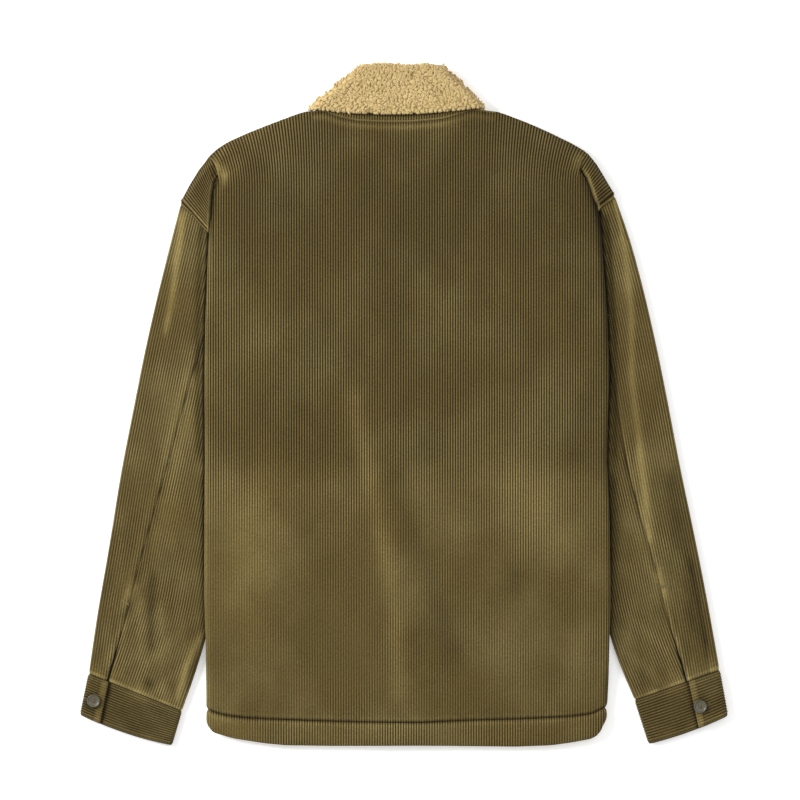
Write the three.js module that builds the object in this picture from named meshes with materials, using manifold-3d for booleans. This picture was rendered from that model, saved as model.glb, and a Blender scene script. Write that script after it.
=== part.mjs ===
// A sherpa lined corduroy jacket, laid flat on a table with its back up, in millimetres.
// X runs to the right of the laid garment, Y towards the collar, and Z up from the table.
// Every piece of cloth is a closed wall over a grid of points, worked out from the tables below.
import * as THREE from "three";
import { mergeVertices } from "three/addons/utils/BufferGeometryUtils.js";
import Module from "manifold-3d";

const wasm = await Module();
wasm.setup();

// Walls and the heights at which the layers lie
const BODY_WALL = 5;
const SLEEVE_WALL = 3.5;
const SLEEVE_HEIGHT = 9;
const PLACKET_WALL = 3;
const LEAF_WALL = 5;
const STAND_WALL = 4;
const FALL_WALL = 6.5;
const SEAM_GAP = 0.3;
const SIDE_RISE = SLEEVE_HEIGHT + SEAM_GAP;
const LEAF_RISE = LEAF_WALL + SEAM_GAP;
const BACK_INNER_HEIGHT = 8;
const SIDE_LIFT = 7.3;
const NECK_LIFT = 4.5;
const CENTRE_LIFT = 2.2;
const SHOULDER_SEAM_HEIGHT = BODY_WALL + 1.2;
const FALL_INNER_HEIGHT = 18.3;

// Buttons
const BUTTON_RADIUS = 7.6;
const BUTTON_THICKNESS = 3;
const FRONT_BUTTON_COUNT = 6;
const FRONT_BUTTON_LOWEST = -350;
const FRONT_BUTTON_PITCH = 105;

// Half the width over which the two fronts lap
const LAP = 20;
// How far the collar's ends stop short of the centre front
const COLLAR_END = 40;

// The body's side folds, and the shoulder above them, from the hem up
const BODY_EDGE = {
  left: [
    { y: -402, x: -231 }, { y: -356, x: -232.8 }, { y: -286, x: -233.3 },
    { y: -221, x: -235.2 }, { y: -158, x: -235.1 }, { y: -73, x: -234.2 },
    { y: 8, x: -234.7 }, { y: 98, x: -234 }, { y: 142, x: -232 },
    { y: 203, x: -229.5 }, { y: 231, x: -227.3 }, { y: 258, x: -225 },
    { y: 275, x: -221 }, { y: 292, x: -217 }, { y: 309.2, x: -209.5 },
    { y: 321, x: -183.5 }, { y: 332.8, x: -152.8 }, { y: 344.6, x: -121 },
  ],
  right: [
    { y: -402, x: 237.5 }, { y: -364, x: 240 }, { y: -324.5, x: 242.4 },
    { y: -275, x: 243.2 }, { y: -221, x: 244.5 }, { y: -136, x: 243.2 },
    { y: -67, x: 239.9 }, { y: 41, x: 242.6 }, { y: 104, x: 240.5 },
    { y: 172, x: 235.3 }, { y: 226, x: 231.3 }, { y: 249.5, x: 223.6 },
    { y: 265, x: 219 }, { y: 282, x: 213 }, { y: 296, x: 208.5 },
    { y: 309.2, x: 197.6 }, { y: 321, x: 172.9 }, { y: 332.8, x: 145.7 },
    { y: 344.6, x: 115 },
  ],
};

// The shoulder's outline, from the armhole seam up to the neck
const SHOULDER = {
  left: [
    { x: -263.7, y: 238.4 }, { x: -257.8, y: 250.2 }, { x: -250.8, y: 262 },
    { x: -243.7, y: 273.8 }, { x: -235.4, y: 285.6 }, { x: -226, y: 297.4 },
    { x: -209.5, y: 309.2 }, { x: -183.5, y: 321 }, { x: -152.8, y: 332.8 },
    { x: -121, y: 344.6 }, { x: -96, y: 350 },
  ],
  right: [
    { x: 249.8, y: 247.8 }, { x: 241.3, y: 262 }, { x: 234.2, y: 273.8 },
    { x: 227.2, y: 285.6 }, { x: 217.7, y: 297.4 }, { x: 197.6, y: 309.2 },
    { x: 172.9, y: 321 }, { x: 145.7, y: 332.8 }, { x: 115, y: 344.6 },
    { x: 82, y: 350 },
  ],
};

// The armhole seam, from the underarm up to the shoulder's end
const ARMHOLE = {
  left: [
    { y: 6, x: -172 }, { y: 60, x: -186 }, { y: 110, x: -199 }, { y: 160, x: -213 },
    { y: 203.4, x: -229.5 }, { y: 215.2, x: -240.4 }, { y: 227.9, x: -251.2 },
    { y: 238.4, x: -263.7 },
  ],
  right: [
    { y: 6, x: 176 }, { y: 62, x: 188 }, { y: 115, x: 200 }, { y: 168, x: 213 },
    { y: 212, x: 225 }, { y: 233.3, x: 231.6 }, { y: 243.2, x: 247 },
    { y: 247.8, x: 249.8 },
  ],
};

const HEM_LEVEL = -375;

// The sleeve's two folds, row by row from the armhole to the cuff, with the place of the
// elbow seam as a share of the way from the outer fold to the inner one
const SLEEVE = {
  left: [
    { outerX: -263.7, outerY: 238.4, innerX: -172, innerY: 6, seam: 0.426 },
    { outerX: -278, outerY: 182, innerX: -181, innerY: -36, seam: 0.421 },
    { outerX: -293.2, outerY: 120.4, innerX: -191, innerY: -82, seam: 0.425 },
    { outerX: -306.5, outerY: 61, innerX: -201, innerY: -128, seam: 0.405 },
    { outerX: -319.5, outerY: -5, innerX: -211, innerY: -175, seam: 0.382 },
    { outerX: -334, outerY: -78, innerX: -221, innerY: -222, seam: 0.345 },
    { outerX: -347.5, outerY: -163, innerX: -231, innerY: -270, seam: 0.29 },
    { outerX: -362, outerY: -245, innerX: -244.5, innerY: -315, seam: 0.263 },
    { outerX: -372.4, outerY: -316.8, innerX: -261.1, innerY: -361.5, seam: 0.208 },
  ],
  right: [
    { outerX: 249.8, outerY: 247.8, innerX: 176, innerY: 6, seam: 0.36 },
    { outerX: 268, outerY: 197, innerX: 186, innerY: -38, seam: 0.37 },
    { outerX: 284, outerY: 137, innerX: 197, innerY: -83, seam: 0.434 },
    { outerX: 299, outerY: 72, innerX: 208, innerY: -128, seam: 0.48 },
    { outerX: 312.5, outerY: 5, innerX: 219, innerY: -173, seam: 0.492 },
    { outerX: 327, outerY: -72, innerX: 230, innerY: -218, seam: 0.461 },
    { outerX: 342.5, outerY: -145, innerX: 240, innerY: -262, seam: 0.426 },
    { outerX: 358.5, outerY: -224, innerX: 253.5, innerY: -304, seam: 0.428 },
    { outerX: 374.1, outerY: -312.7, innerX: 272.5, innerY: -348.5, seam: 0.39 },
  ],
};

// The cuffs: their lower corners, the bow of their lower edge, the end of the lap as a share
// of the way from the outer fold to the inner one, and the button's centre
const CUFF = {
  left: { outerX: -382.5, outerY: -365.5, innerX: -273, innerY: -402, bow: 4,
    lapEnd: 0.22, buttonX: -365.7, buttonY: -349 },
  right: { outerX: 383.8, outerY: -366.5, innerX: 289.3, innerY: -400.5, bow: 3,
    lapEnd: 0.37, buttonX: 350, buttonY: -355.7 },
};

// The groove above the hem band, and the band's lower edge
const GROOVE = [
  { x: -235, y: -357 }, { x: -226, y: -361.7 }, { x: -212, y: -366 }, { x: -182.7, y: -369.8 },
  { x: -155, y: -371 }, { x: -105.6, y: -373 }, { x: -36, y: -374.7 }, { x: 18.3, y: -375 },
  { x: 88, y: -372 }, { x: 133, y: -371 }, { x: 200, y: -367.5 }, { x: 223, y: -364.3 },
  { x: 233.3, y: -359 }, { x: 242, y: -355.5 },
];
const HEM_EDGE = [
  { x: -233, y: -377 }, { x: -226, y: -386 }, { x: -201.8, y: -393.3 }, { x: -165.4, y: -399 },
  { x: -139.4, y: -401.6 }, { x: -78.8, y: -402.4 }, { x: 19.5, y: -402 }, { x: 132.8, y: -403.2 },
  { x: 174.5, y: -401.6 }, { x: 200.5, y: -398 }, { x: 222.9, y: -393.8 }, { x: 231.6, y: -387.6 },
  { x: 240, y: -372 },
];

// The back's neck seam, with the top of the shoulders beside it
const NECK_SEAM = [
  { x: -121, y: 344.6 }, { x: -94, y: 348.5 }, { x: -75.4, y: 341.8 }, { x: -55, y: 337.5 },
  { x: -23, y: 335.8 }, { x: 8, y: 336 }, { x: 32, y: 338 }, { x: 48, y: 340 },
  { x: 63.6, y: 345 }, { x: 82, y: 348.5 }, { x: 115, y: 344.6 },
];

// The collar: the corners of its fall on the back, and the corners of its leaves in front
const FALL_ROLL = { leftX: -50, leftY: 402, rightX: 46, rightY: 401 };
const FALL_EDGE = { leftX: -114.2, leftY: 349, rightX: 97.8, rightY: 351 };
const FALL_EDGE_BOW = -6;
const LEAF_POINT = { x: 84, y: 196 };
const LEAF_END_Y = 272;
const STAND_TOP = { leftX: -46, leftY: 396, rightX: 37, rightY: 395.5 };
const STAND_FOOT = { leftX: -98, leftY: 349.6, rightX: 83, rightY: 349.6 };

// The long soft creases of the back: the two ends of each, its half width and its height
const CREASES = [
  { x0: -63, y0: 18, x1: -34, y1: -88, width: 16, height: 1.6 },
  { x0: -178, y0: -60, x1: -186, y1: -345, width: 26, height: 1.8 },
  { x0: 186, y0: 150, x1: 178, y1: -120, width: 24, height: 1.5 },
  { x0: 140, y0: -110, x1: 206, y1: -300, width: 22, height: -1.4 },
  { x0: -150, y0: 190, x1: -200, y1: 60, width: 20, height: -1.3 },
  { x0: 60, y0: -120, x1: 96, y1: -330, width: 30, height: 1.3 },
];

const CORDUROY = new THREE.MeshStandardMaterial({ color: 0x6b5c33, roughness: 0.95, metalness: 0 });
const SHERPA = new THREE.MeshStandardMaterial({ color: 0xcdb27a, roughness: 1, metalness: 0 });
const HORN = new THREE.MeshStandardMaterial({ color: 0x6f6a58, roughness: 0.45, metalness: 0 });

const mix = (a, b, t) => a + (b - a) * t;

function smooth(from, to, value) {
  const t = Math.min(1, Math.max(0, (value - from) / (to - from)));
  return t * t * (3 - 2 * t);
}

// The value of one column of a table at a place in another column, between rows
function lookUp(table, key, column, at) {
  const rising = table[table.length - 1][key] > table[0][key];
  const rows = rising ? table : [...table].reverse();
  if (at <= rows[0][key]) return rows[0][column];
  for (let i = 1; i < rows.length; i += 1) {
    if (at <= rows[i][key]) {
      const share = (at - rows[i - 1][key]) / (rows[i][key] - rows[i - 1][key]);
      return mix(rows[i - 1][column], rows[i][column], share);
    }
  }
  return rows[rows.length - 1][column];
}

// The value of a column at a share of the way through a table's rows
function atShare(table, column, share) {
  const place = share * (table.length - 1);
  const row = Math.min(table.length - 2, Math.floor(place));
  return mix(table[row][column], table[row + 1][column], place - row);
}

// A closed wall over a grid of rows and columns: face(i, j, 0) is a point of its outer face
// and face(i, j, 1) the point below it on its inner face
function wall(rows, columns, face) {
  const points = [];
  for (let side = 0; side < 2; side += 1) {
    for (let i = 0; i < rows; i += 1) {
      for (let j = 0; j < columns; j += 1) points.push(face(i, j, side));
    }
  }
  const index = (side, i, j) => (side * rows + i) * columns + j;
  const triangles = [];
  const quad = (a, b, c, d) => triangles.push([a, b, c], [a, c, d]);
  for (let i = 0; i + 1 < rows; i += 1) {
    for (let j = 0; j + 1 < columns; j += 1) {
      quad(index(0, i, j), index(0, i, j + 1), index(0, i + 1, j + 1), index(0, i + 1, j));
      // the inner face is cut along the same diagonal as the outer one
      const [a, b, c, d] = [index(1, i, j), index(1, i, j + 1), index(1, i + 1, j + 1), index(1, i + 1, j)];
      triangles.push([a, c, b], [a, d, c]);
    }
  }
  for (let i = 0; i + 1 < rows; i += 1) {
    quad(index(0, i + 1, 0), index(1, i + 1, 0), index(1, i, 0), index(0, i, 0));
    const last = columns - 1;
    quad(index(0, i, last), index(1, i, last), index(1, i + 1, last), index(0, i + 1, last));
  }
  for (let j = 0; j + 1 < columns; j += 1) {
    quad(index(0, 0, j), index(1, 0, j), index(1, 0, j + 1), index(0, 0, j + 1));
    const last = rows - 1;
    quad(index(0, last, j + 1), index(1, last, j + 1), index(1, last, j), index(0, last, j));
  }
  let volume = 0;
  for (const [a, b, c] of triangles) {
    const [p, q, r] = [points[a], points[b], points[c]];
    volume += p[0] * (q[1] * r[2] - q[2] * r[1]) + p[1] * (q[2] * r[0] - q[0] * r[2])
      + p[2] * (q[0] * r[1] - q[1] * r[0]);
  }
  const faces = volume > 0 ? triangles : triangles.map(([a, b, c]) => [a, c, b]);
  const geometry = new THREE.BufferGeometry();
  geometry.setAttribute("position", new THREE.Float32BufferAttribute(points.flat(), 3));
  geometry.setIndex(faces.flat());
  return geometry;
}

// The height of the back's creases at a point
function creaseHeight(x, y) {
  let height = 0;
  for (const crease of CREASES) {
    const [dx, dy] = [crease.x1 - crease.x0, crease.y1 - crease.y0];
    const length = Math.hypot(dx, dy);
    const along = ((x - crease.x0) * dx + (y - crease.y0) * dy) / length;
    const across = ((x - crease.x0) * dy - (y - crease.y0) * dx) / length;
    const ends = smooth(-0.15 * length, 0.25 * length, along)
      * (1 - smooth(0.75 * length, 1.15 * length, along));
    height += crease.height * ends * Math.exp(-((across / crease.width) ** 2));
  }
  return height;
}

// The sleeve's inner fold, or the armhole above the underarm, at a height
function sleeveInside(side, y) {
  const underarm = ARMHOLE[side][0].y;
  if (y >= underarm) return lookUp(ARMHOLE[side], "y", "x", y);
  return lookUp(SLEEVE[side], "innerY", "innerX", y);
}

// The height of the cloth that climbs on to the sleeve
const CLIMB_START = 30;
const CLIMB_RUN = 20;
const FOLD_TOP = { left: 203.4, right: 233.3 };
function sideRise(side, x, y) {
  const inside = Math.abs(sleeveInside(side, Math.min(y, FOLD_TOP[side])));
  return SIDE_RISE * smooth(0, CLIMB_RUN, Math.abs(x) + CLIMB_START - inside);
}

// The edge that a front and the back's wrap share: the side seam runs straight down from the
// underarm to the hem, and above the underarm lies the armhole
function seamX(side, y) {
  return lookUp(ARMHOLE[side], "y", "x", y);
}

// The height of the fronts above the collar's leaves, which lie between these slopes
const LEAF_SLOPES = {
  low: { from: 158, to: 186 }, front: { from: 20, to: 33 }, outer: { from: 152, to: 190 },
};
function leafRise(x, y) {
  const wide = Math.abs(x);
  const { low, front, outer } = LEAF_SLOPES;
  return LEAF_RISE * smooth(low.from, low.to, y) * smooth(front.from, front.to, wide)
    * (1 - smooth(outer.from, outer.to, wide));
}

function shoulderY(x) {
  return lookUp(SHOULDER[x < 0 ? "left" : "right"], "x", "y", x);
}

// The valley where the back dips beside the fold of a dropped shoulder
const CREVICE_DEPTH = 4.5;
const CREVICE_WIDTH = 9;
const CREVICE_START = { from: -30, to: -5 };
const CREVICE_END = { from: 268, to: 292 };
function creviceDip(x, y) {
  const side = x < 0 ? "left" : "right";
  const edge = Math.abs(lookUp(BODY_EDGE[side], "y", "x", y));
  const reach = smooth(FOLD_TOP[side] + CREVICE_START.from, FOLD_TOP[side] + CREVICE_START.to, y)
    * (1 - smooth(CREVICE_END.from, CREVICE_END.to, y));
  return CREVICE_DEPTH * reach * Math.exp(-(((edge - Math.abs(x)) / CREVICE_WIDTH) ** 2));
}

// The height of the back's inner face: it rises over the sleeves at the sides and over the
// collar's leaves towards the neck, stands a little over the buttons at the centre, and comes
// down to the shoulder seams
const SIDE_SLOPE = { from: 75, to: 158, lowest: -345, full: -250 };
const NECK_SLOPE = { from: 40, to: 190 };
const CENTRE_SLOPE = { from: 20, to: 60 };
const SHOULDER_SLOPE = 14;
const SHOULDER_START = 95;
function backInner(x, y) {
  const wide = Math.abs(x);
  const side = smooth(SIDE_SLOPE.from, SIDE_SLOPE.to, wide) * smooth(SIDE_SLOPE.lowest, SIDE_SLOPE.full, y);
  const neck = smooth(NECK_SLOPE.from, NECK_SLOPE.to, y);
  const centre = CENTRE_LIFT * (1 - smooth(CENTRE_SLOPE.from, CENTRE_SLOPE.to, wide)) * (1 - neck);
  const flat = BACK_INNER_HEIGHT + SIDE_LIFT * side + NECK_LIFT * (1 - side) * neck + centre
    + creaseHeight(x, y);
  const fromShoulder = shoulderY(x) - y;
  const seam = SHOULDER_SEAM_HEIGHT + leafRise(x, y);
  return mix(seam, flat, smooth(0, SHOULDER_SLOPE, wide > SHOULDER_START ? fromShoulder : SHOULDER_SLOPE));
}

// Stations along the body's section: -3 to -2 is the left wrap under the side, -2 to -1 its
// fold, -1 to 1 the back, and then the same on the right
const WRAP_STATIONS = [1.25, 1.5, 1.75, 2, 2.25, 2.45, 2.65, 2.85, 3];
const BACK_COLUMNS = 14;
const STATIONS = WRAP_STATIONS.map((place) => -place).reverse();
for (let k = 0; k <= BACK_COLUMNS; k += 1) STATIONS.push(-1 + (2 * k) / BACK_COLUMNS);
STATIONS.push(...WRAP_STATIONS);

const FLAT_EDGE_WIDTH = 40;

function backLevel(x, y) {
  return backInner(x, y) - creviceDip(x, y);
}

// A point of the back at a station and a height on the body, a depth below its outer face
function backPoint(station, y, depth) {
  const leftEdge = lookUp(BODY_EDGE.left, "y", "x", y);
  const rightEdge = lookUp(BODY_EDGE.right, "y", "x", y);
  const side = station < 0 ? "left" : "right";
  const sign = station < 0 ? -1 : 1;
  const edge = station < 0 ? leftEdge : rightEdge;
  const place = Math.abs(station);
  const top = backLevel(edge - sign * 6, y) + BODY_WALL;
  const bottom = sideRise(side, edge - sign * 6, y);
  const radius = (top - bottom) / 2;
  const turn = edge - sign * radius;
  const flatness = smooth(side === "left" ? 203 : 228, side === "left" ? 276 : 284, y);
  const insideX = (e, s) => mix(e - s * radius, e - s * FLAT_EDGE_WIDTH, flatness);
  if (place <= 1) {
    const x = mix(insideX(leftEdge, -1), insideX(rightEdge, 1), (station + 1) / 2);
    return [x, backLevel(x, y) + BODY_WALL - depth];
  }
  const flatX = mix(edge, edge - sign * FLAT_EDGE_WIDTH, (3 - place) / 2);
  const flatZ = backLevel(flatX, y) + BODY_WALL - depth;
  let x = turn;
  let z = 0;
  if (place <= 2) {
    const angle = Math.PI * (place - 1);
    x = turn + sign * (radius - depth) * Math.sin(angle);
    z = bottom + radius + (radius - depth) * Math.cos(angle);
  } else {
    const seam = side === "left" ? Math.max(seamX(side, y), turn + 2) : Math.min(seamX(side, y), turn - 2);
    x = mix(turn, seam, place - 2);
    z = sideRise(side, x, y) + depth;
  }
  return [mix(x, flatX, flatness), mix(z, flatZ, flatness)];
}

// The rows of the back, from the groove up to the neck seam
const BACK_ROWS = [
  -375, -362, -340, -310, -275, -230, -180, -130, -85, -40, 6, 50, 95, 135,
  170, 190, 203.4, 218, 233.3, 247, 261, 275, 292, 309, 321, 333, 344.6,
];
const NECK_ROW = BACK_ROWS[BACK_ROWS.length - 1];

function backWall(row, station, depth) {
  const nominal = BACK_ROWS[row];
  const [x, z] = backPoint(station, nominal, depth);
  const low = 1 - smooth(HEM_LEVEL, -290, nominal);
  const high = smooth(280, NECK_ROW, nominal);
  const y = nominal + low * (lookUp(GROOVE, "x", "y", x) + SEAM_GAP - HEM_LEVEL)
    + high * (lookUp(NECK_SEAM, "x", "y", x) - NECK_ROW);
  return [x, y, z];
}

// The dropped end of a shoulder: its fold is a ridge beside the back's valley, and it slopes
// down to the armhole seam
const FLAP = {
  left: [
    { innerX: -228, innerY: 208, outer: 0 }, { innerX: -226, innerY: 230, outer: 1 },
    { innerX: -223.7, innerY: 250, outer: 2 }, { innerX: -220.6, innerY: 267, outer: 3 },
    { innerX: -212, innerY: 283, outer: 4 }, { innerX: -203, innerY: 293, outer: 5 },
    { innerX: -197, innerY: 300, outer: 6 },
  ],
  right: [
    { innerX: 229, innerY: 237, outer: 0 }, { innerX: 222.4, innerY: 250.6, outer: 1 },
    { innerX: 217.7, innerY: 265.4, outer: 2 }, { innerX: 211, innerY: 279.5, outer: 3 },
    { innerX: 200, innerY: 291.3, outer: 4 }, { innerX: 188, innerY: 302, outer: 5 },
  ],
};
const FLAP_COLUMNS = 6;
const FLAP_SINK = 0.4;
const FLAP_GAP = 1;
const FLAP_SLOPE = 24;

function flapWall(side) {
  const table = FLAP[side];
  return wall(table.length, FLAP_COLUMNS + 1, (i, j, depth) => {
    const across = j / FLAP_COLUMNS;
    const outer = SHOULDER[side][table[i].outer];
    const x = mix(table[i].innerX, outer.x, across);
    let y = mix(table[i].innerY, outer.y, across);
    if (i === 0) {
      // the lowest row lies along the armhole seam
      const seam = lookUp(ARMHOLE[side], "x", "y", x) + FLAP_GAP;
      if (across > 0) y = Math.max(seam, y - 5);
    }
    const fromSeam = y - lookUp(ARMHOLE[side], "x", "y", x);
    const low = mix(SHOULDER_SEAM_HEIGHT, backInner(x, y), smooth(0, FLAP_SLOPE, fromSeam)) + FLAP_SINK;
    return [x, y, depth === 0 ? low + BODY_WALL - 2 * FLAP_SINK : low];
  });
}

function solidOf(geometry) {
  const merged = mergeVertices(geometry, 1e-3);
  return new wasm.Manifold(new wasm.Mesh({
    numProp: 3,
    vertProperties: merged.attributes.position.array,
    triVerts: new Uint32Array(merged.index.array),
  }));
}

function geometryOf(solid) {
  const mesh = solid.getMesh();
  const geometry = new THREE.BufferGeometry();
  geometry.setAttribute("position", new THREE.BufferAttribute(new Float32Array(mesh.vertProperties), 3));
  geometry.setIndex(new THREE.BufferAttribute(new Uint32Array(mesh.triVerts), 1));
  return geometry;
}

// Points nearer than this are one point where joined walls cross
const JOIN_TOLERANCE = 0.02;

const jacket = new THREE.Group();

function sew(name, geometry, material) {
  const mesh = new THREE.Mesh(geometry, material);
  mesh.name = name;
  jacket.add(mesh);
}

// The back: one wall from groove to neck, joined to the dropped ends of the shoulders
const backMain = wall(BACK_ROWS.length, STATIONS.length,
  (i, j, side) => backWall(i, STATIONS[j], side * BODY_WALL));
const joined = solidOf(backMain).add(solidOf(flapWall("left"))).add(solidOf(flapWall("right")));
const back = joined.simplify(JOIN_TOLERANCE);
sew("back", geometryOf(back), CORDUROY);

// The back's hem band, wrapped round the sides as the back is
const HEM_ROWS = 4;
sew("hem_back", wall(HEM_ROWS, STATIONS.length, (i, j, side) => {
  const share = i / (HEM_ROWS - 1);
  const [x, z] = backPoint(STATIONS[j], HEM_LEVEL, side * BODY_WALL);
  const top = lookUp(GROOVE, "x", "y", x) - SEAM_GAP;
  const y = mix(top, lookUp(HEM_EDGE, "x", "y", x), share);
  return [x, y, z];
}), CORDUROY);

// The fronts, from the side seam, armhole and shoulder to the lapped front edge
const FRONT_ROWS = [
  { left: -375, right: -375, centre: -375 }, { left: -345, right: -345, centre: -348 },
  { left: -290, right: -290, centre: -295 }, { left: -220, right: -220, centre: -230 },
  { left: -140, right: -140, centre: -158 }, { left: -60, right: -60, centre: -85 },
  { left: 6, right: 6, centre: -20 }, { left: 36, right: 36, centre: 12 },
  { left: 60, right: 62, centre: 42 }, { left: 110, right: 115, centre: 85 },
  { left: 160, right: 168, centre: 125 }, { left: 203.4, right: 212, centre: 155 },
  { left: 215.2, right: 233.3, centre: 172 }, { left: 227.9, right: 243.2, centre: 186 },
  { left: 238.4, right: 247.8, centre: 198 }, { left: 262, right: 265, centre: 210 },
  { left: 285.6, right: 285.6, centre: 220 }, { left: 309.2, right: 309.2, centre: 231 },
  { left: 321, right: 321, centre: 240 },
  { left: 338, right: 338, centre: 250 }, { left: 349, right: 349, centre: 262 },
];
const FRONT_TOP_ROW = FRONT_ROWS[FRONT_ROWS.length - 1];
// the columns near the side, as shares of the way to the placket strip, and across the strip
const FRONT_SIDE_SPACING = [0, 0.07, 0.14, 0.22, 0.32, 0.46, 0.64, 0.82, 1];
const STRIP_EDGE = LAP + 14;
const FRONT_STRIP_SPACING = [LAP + 7, LAP + 1, 6, -7, -LAP];
const FRONT_COLUMNS = FRONT_SIDE_SPACING.length + FRONT_STRIP_SPACING.length;
const CLOTH_EDGE_GAP = 0.6;

// The front neckline, as a share of the way from the front edge to the neck point
const NECKLINE = [
  { share: 0, y: 262 }, { share: 0.25, y: 263.5 }, { share: 0.45, y: 271 }, { share: 0.62, y: 285 },
  { share: 0.78, y: 305 }, { share: 0.9, y: 326 }, { share: 1, y: 349 },
];

function necklineY(x) {
  const neck = Math.abs(x < 0 ? STAND_FOOT.leftX : STAND_FOOT.rightX);
  return lookUp(NECKLINE, "share", "y", (Math.abs(x) - LAP) / (neck - LAP));
}

function frontSide(side, y) {
  const sign = side === "left" ? -1 : 1;
  const top = ARMHOLE[side][ARMHOLE[side].length - 1];
  if (y <= top.y) return seamX(side, y) - sign * CLOTH_EDGE_GAP;
  return lookUp(SHOULDER[side], "y", "x", y) - sign * CLOTH_EDGE_GAP;
}

// A front's lowest height and its thickness: it climbs on to the sleeve at the side below the
// underarm, lies over the collar's leaf at the neck, and the left front laps below the right
function frontLayer(side, x, y) {
  const held = 1 - smooth(6, 66, y);
  const climb = x * (side === "left" ? -1 : 1) > 100 ? held * sideRise(side, x, Math.min(y, 6)) : 0;
  const strip = 1 - smooth(LAP + 1, LAP + 14, Math.abs(x));
  const lapped = side === "left" ? PLACKET_WALL + SEAM_GAP : 2 * (PLACKET_WALL + SEAM_GAP);
  const low = climb + leafRise(x, y) + strip * lapped;
  return [low, mix(BODY_WALL, PLACKET_WALL, strip)];
}

function frontX(side, outerX, column) {
  const sign = side === "left" ? -1 : 1;
  if (column < FRONT_SIDE_SPACING.length) return mix(outerX, sign * STRIP_EDGE, FRONT_SIDE_SPACING[column]);
  return sign * FRONT_STRIP_SPACING[column - FRONT_SIDE_SPACING.length];
}

function frontPoint(side, row, column, depth) {
  const sideY = row[side];
  const outerX = frontSide(side, sideY);
  const edgeX = outerX < 0 ? LAP : -LAP;
  const x = frontX(side, outerX, column);
  const share = (x - outerX) / (edgeX - outerX);
  const straight = mix(sideY, row.centre, share);
  const neck = smooth(200, FRONT_TOP_ROW[side], sideY) ** 2;
  const hem = 1 - smooth(HEM_LEVEL, -290, sideY);
  const y = straight + neck * (necklineY(x) - mix(FRONT_TOP_ROW[side], FRONT_TOP_ROW.centre, share))
    + hem * (lookUp(GROOVE, "x", "y", x) + SEAM_GAP - HEM_LEVEL);
  const [low, thick] = frontLayer(side, x, y);
  return [x, y, depth === 0 ? low : low + thick];
}

for (const side of ["left", "right"]) {
  sew("front_" + side, wall(FRONT_ROWS.length, FRONT_COLUMNS, (i, j, depth) =>
    frontPoint(side, FRONT_ROWS[i], j, depth)), CORDUROY);
  sew("hem_front_" + side, wall(HEM_ROWS, FRONT_COLUMNS, (i, j, depth) => {
    const x = frontX(side, frontSide(side, HEM_LEVEL), j);
    const share = i / (HEM_ROWS - 1);
    const y = mix(lookUp(GROOVE, "x", "y", x) - SEAM_GAP, lookUp(HEM_EDGE, "x", "y", x), share);
    const [low, thick] = frontLayer(side, x, HEM_LEVEL);
    return [x, y, depth === 0 ? low : low + thick];
  }), CORDUROY);
}

// A point on a flattened tube of cloth between its outer and inner folds. The turn runs from 0
// at the outer fold, over the top, 1 at the inner fold and back underneath to 2.
function tubePoint(outer, inner, turn, height, wallThickness, depth) {
  const width = Math.hypot(inner[0] - outer[0], inner[1] - outer[1]);
  const radius = height / 2;
  const fold = radius / width;
  const top = turn <= 1;
  const share = top ? turn : 2 - turn;
  const r = radius - depth * wallThickness;
  let along = share;
  let z = top ? height - depth * wallThickness : depth * wallThickness;
  if (share < fold) {
    const angle = (Math.PI / 2) * (1 - share / fold);
    along = fold - (r / width) * Math.sin(angle);
    z = radius + (top ? 1 : -1) * r * Math.cos(angle);
  } else if (share > 1 - fold) {
    const angle = (Math.PI / 2) * (1 - (1 - share) / fold);
    along = 1 - fold + (r / width) * Math.sin(angle);
    z = radius + (top ? 1 : -1) * r * Math.cos(angle);
  }
  return [mix(outer[0], inner[0], along), mix(outer[1], inner[1], along), z];
}

// The two folds and the elbow seam of a sleeve at a share of its length
function sleeveRow(side, share) {
  return {
    outer: [atShare(SLEEVE[side], "outerX", share), atShare(SLEEVE[side], "outerY", share)],
    inner: [atShare(SLEEVE[side], "innerX", share), atShare(SLEEVE[side], "innerY", share)],
    seam: atShare(SLEEVE[side], "seam", share),
  };
}

// A sleeve's point: its first rows bend to lie along the armhole
const ARMHOLE_REACH = 0.3;
function sleevePoint(side, share, turn, depth) {
  const row = sleeveRow(side, share);
  const point = tubePoint(row.outer, row.inner, turn, SLEEVE_HEIGHT, SLEEVE_WALL, depth);
  const across = (point[1] - row.inner[1]) / (row.outer[1] - row.inner[1]);
  const first = SLEEVE[side][0];
  const y = mix(first.innerY, first.outerY, across);
  const bend = (1 - Math.min(1, share / ARMHOLE_REACH)) ** 2;
  point[0] += bend * (lookUp(ARMHOLE[side], "y", "x", y) - mix(first.innerX, first.outerX, across));
  return point;
}

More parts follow.
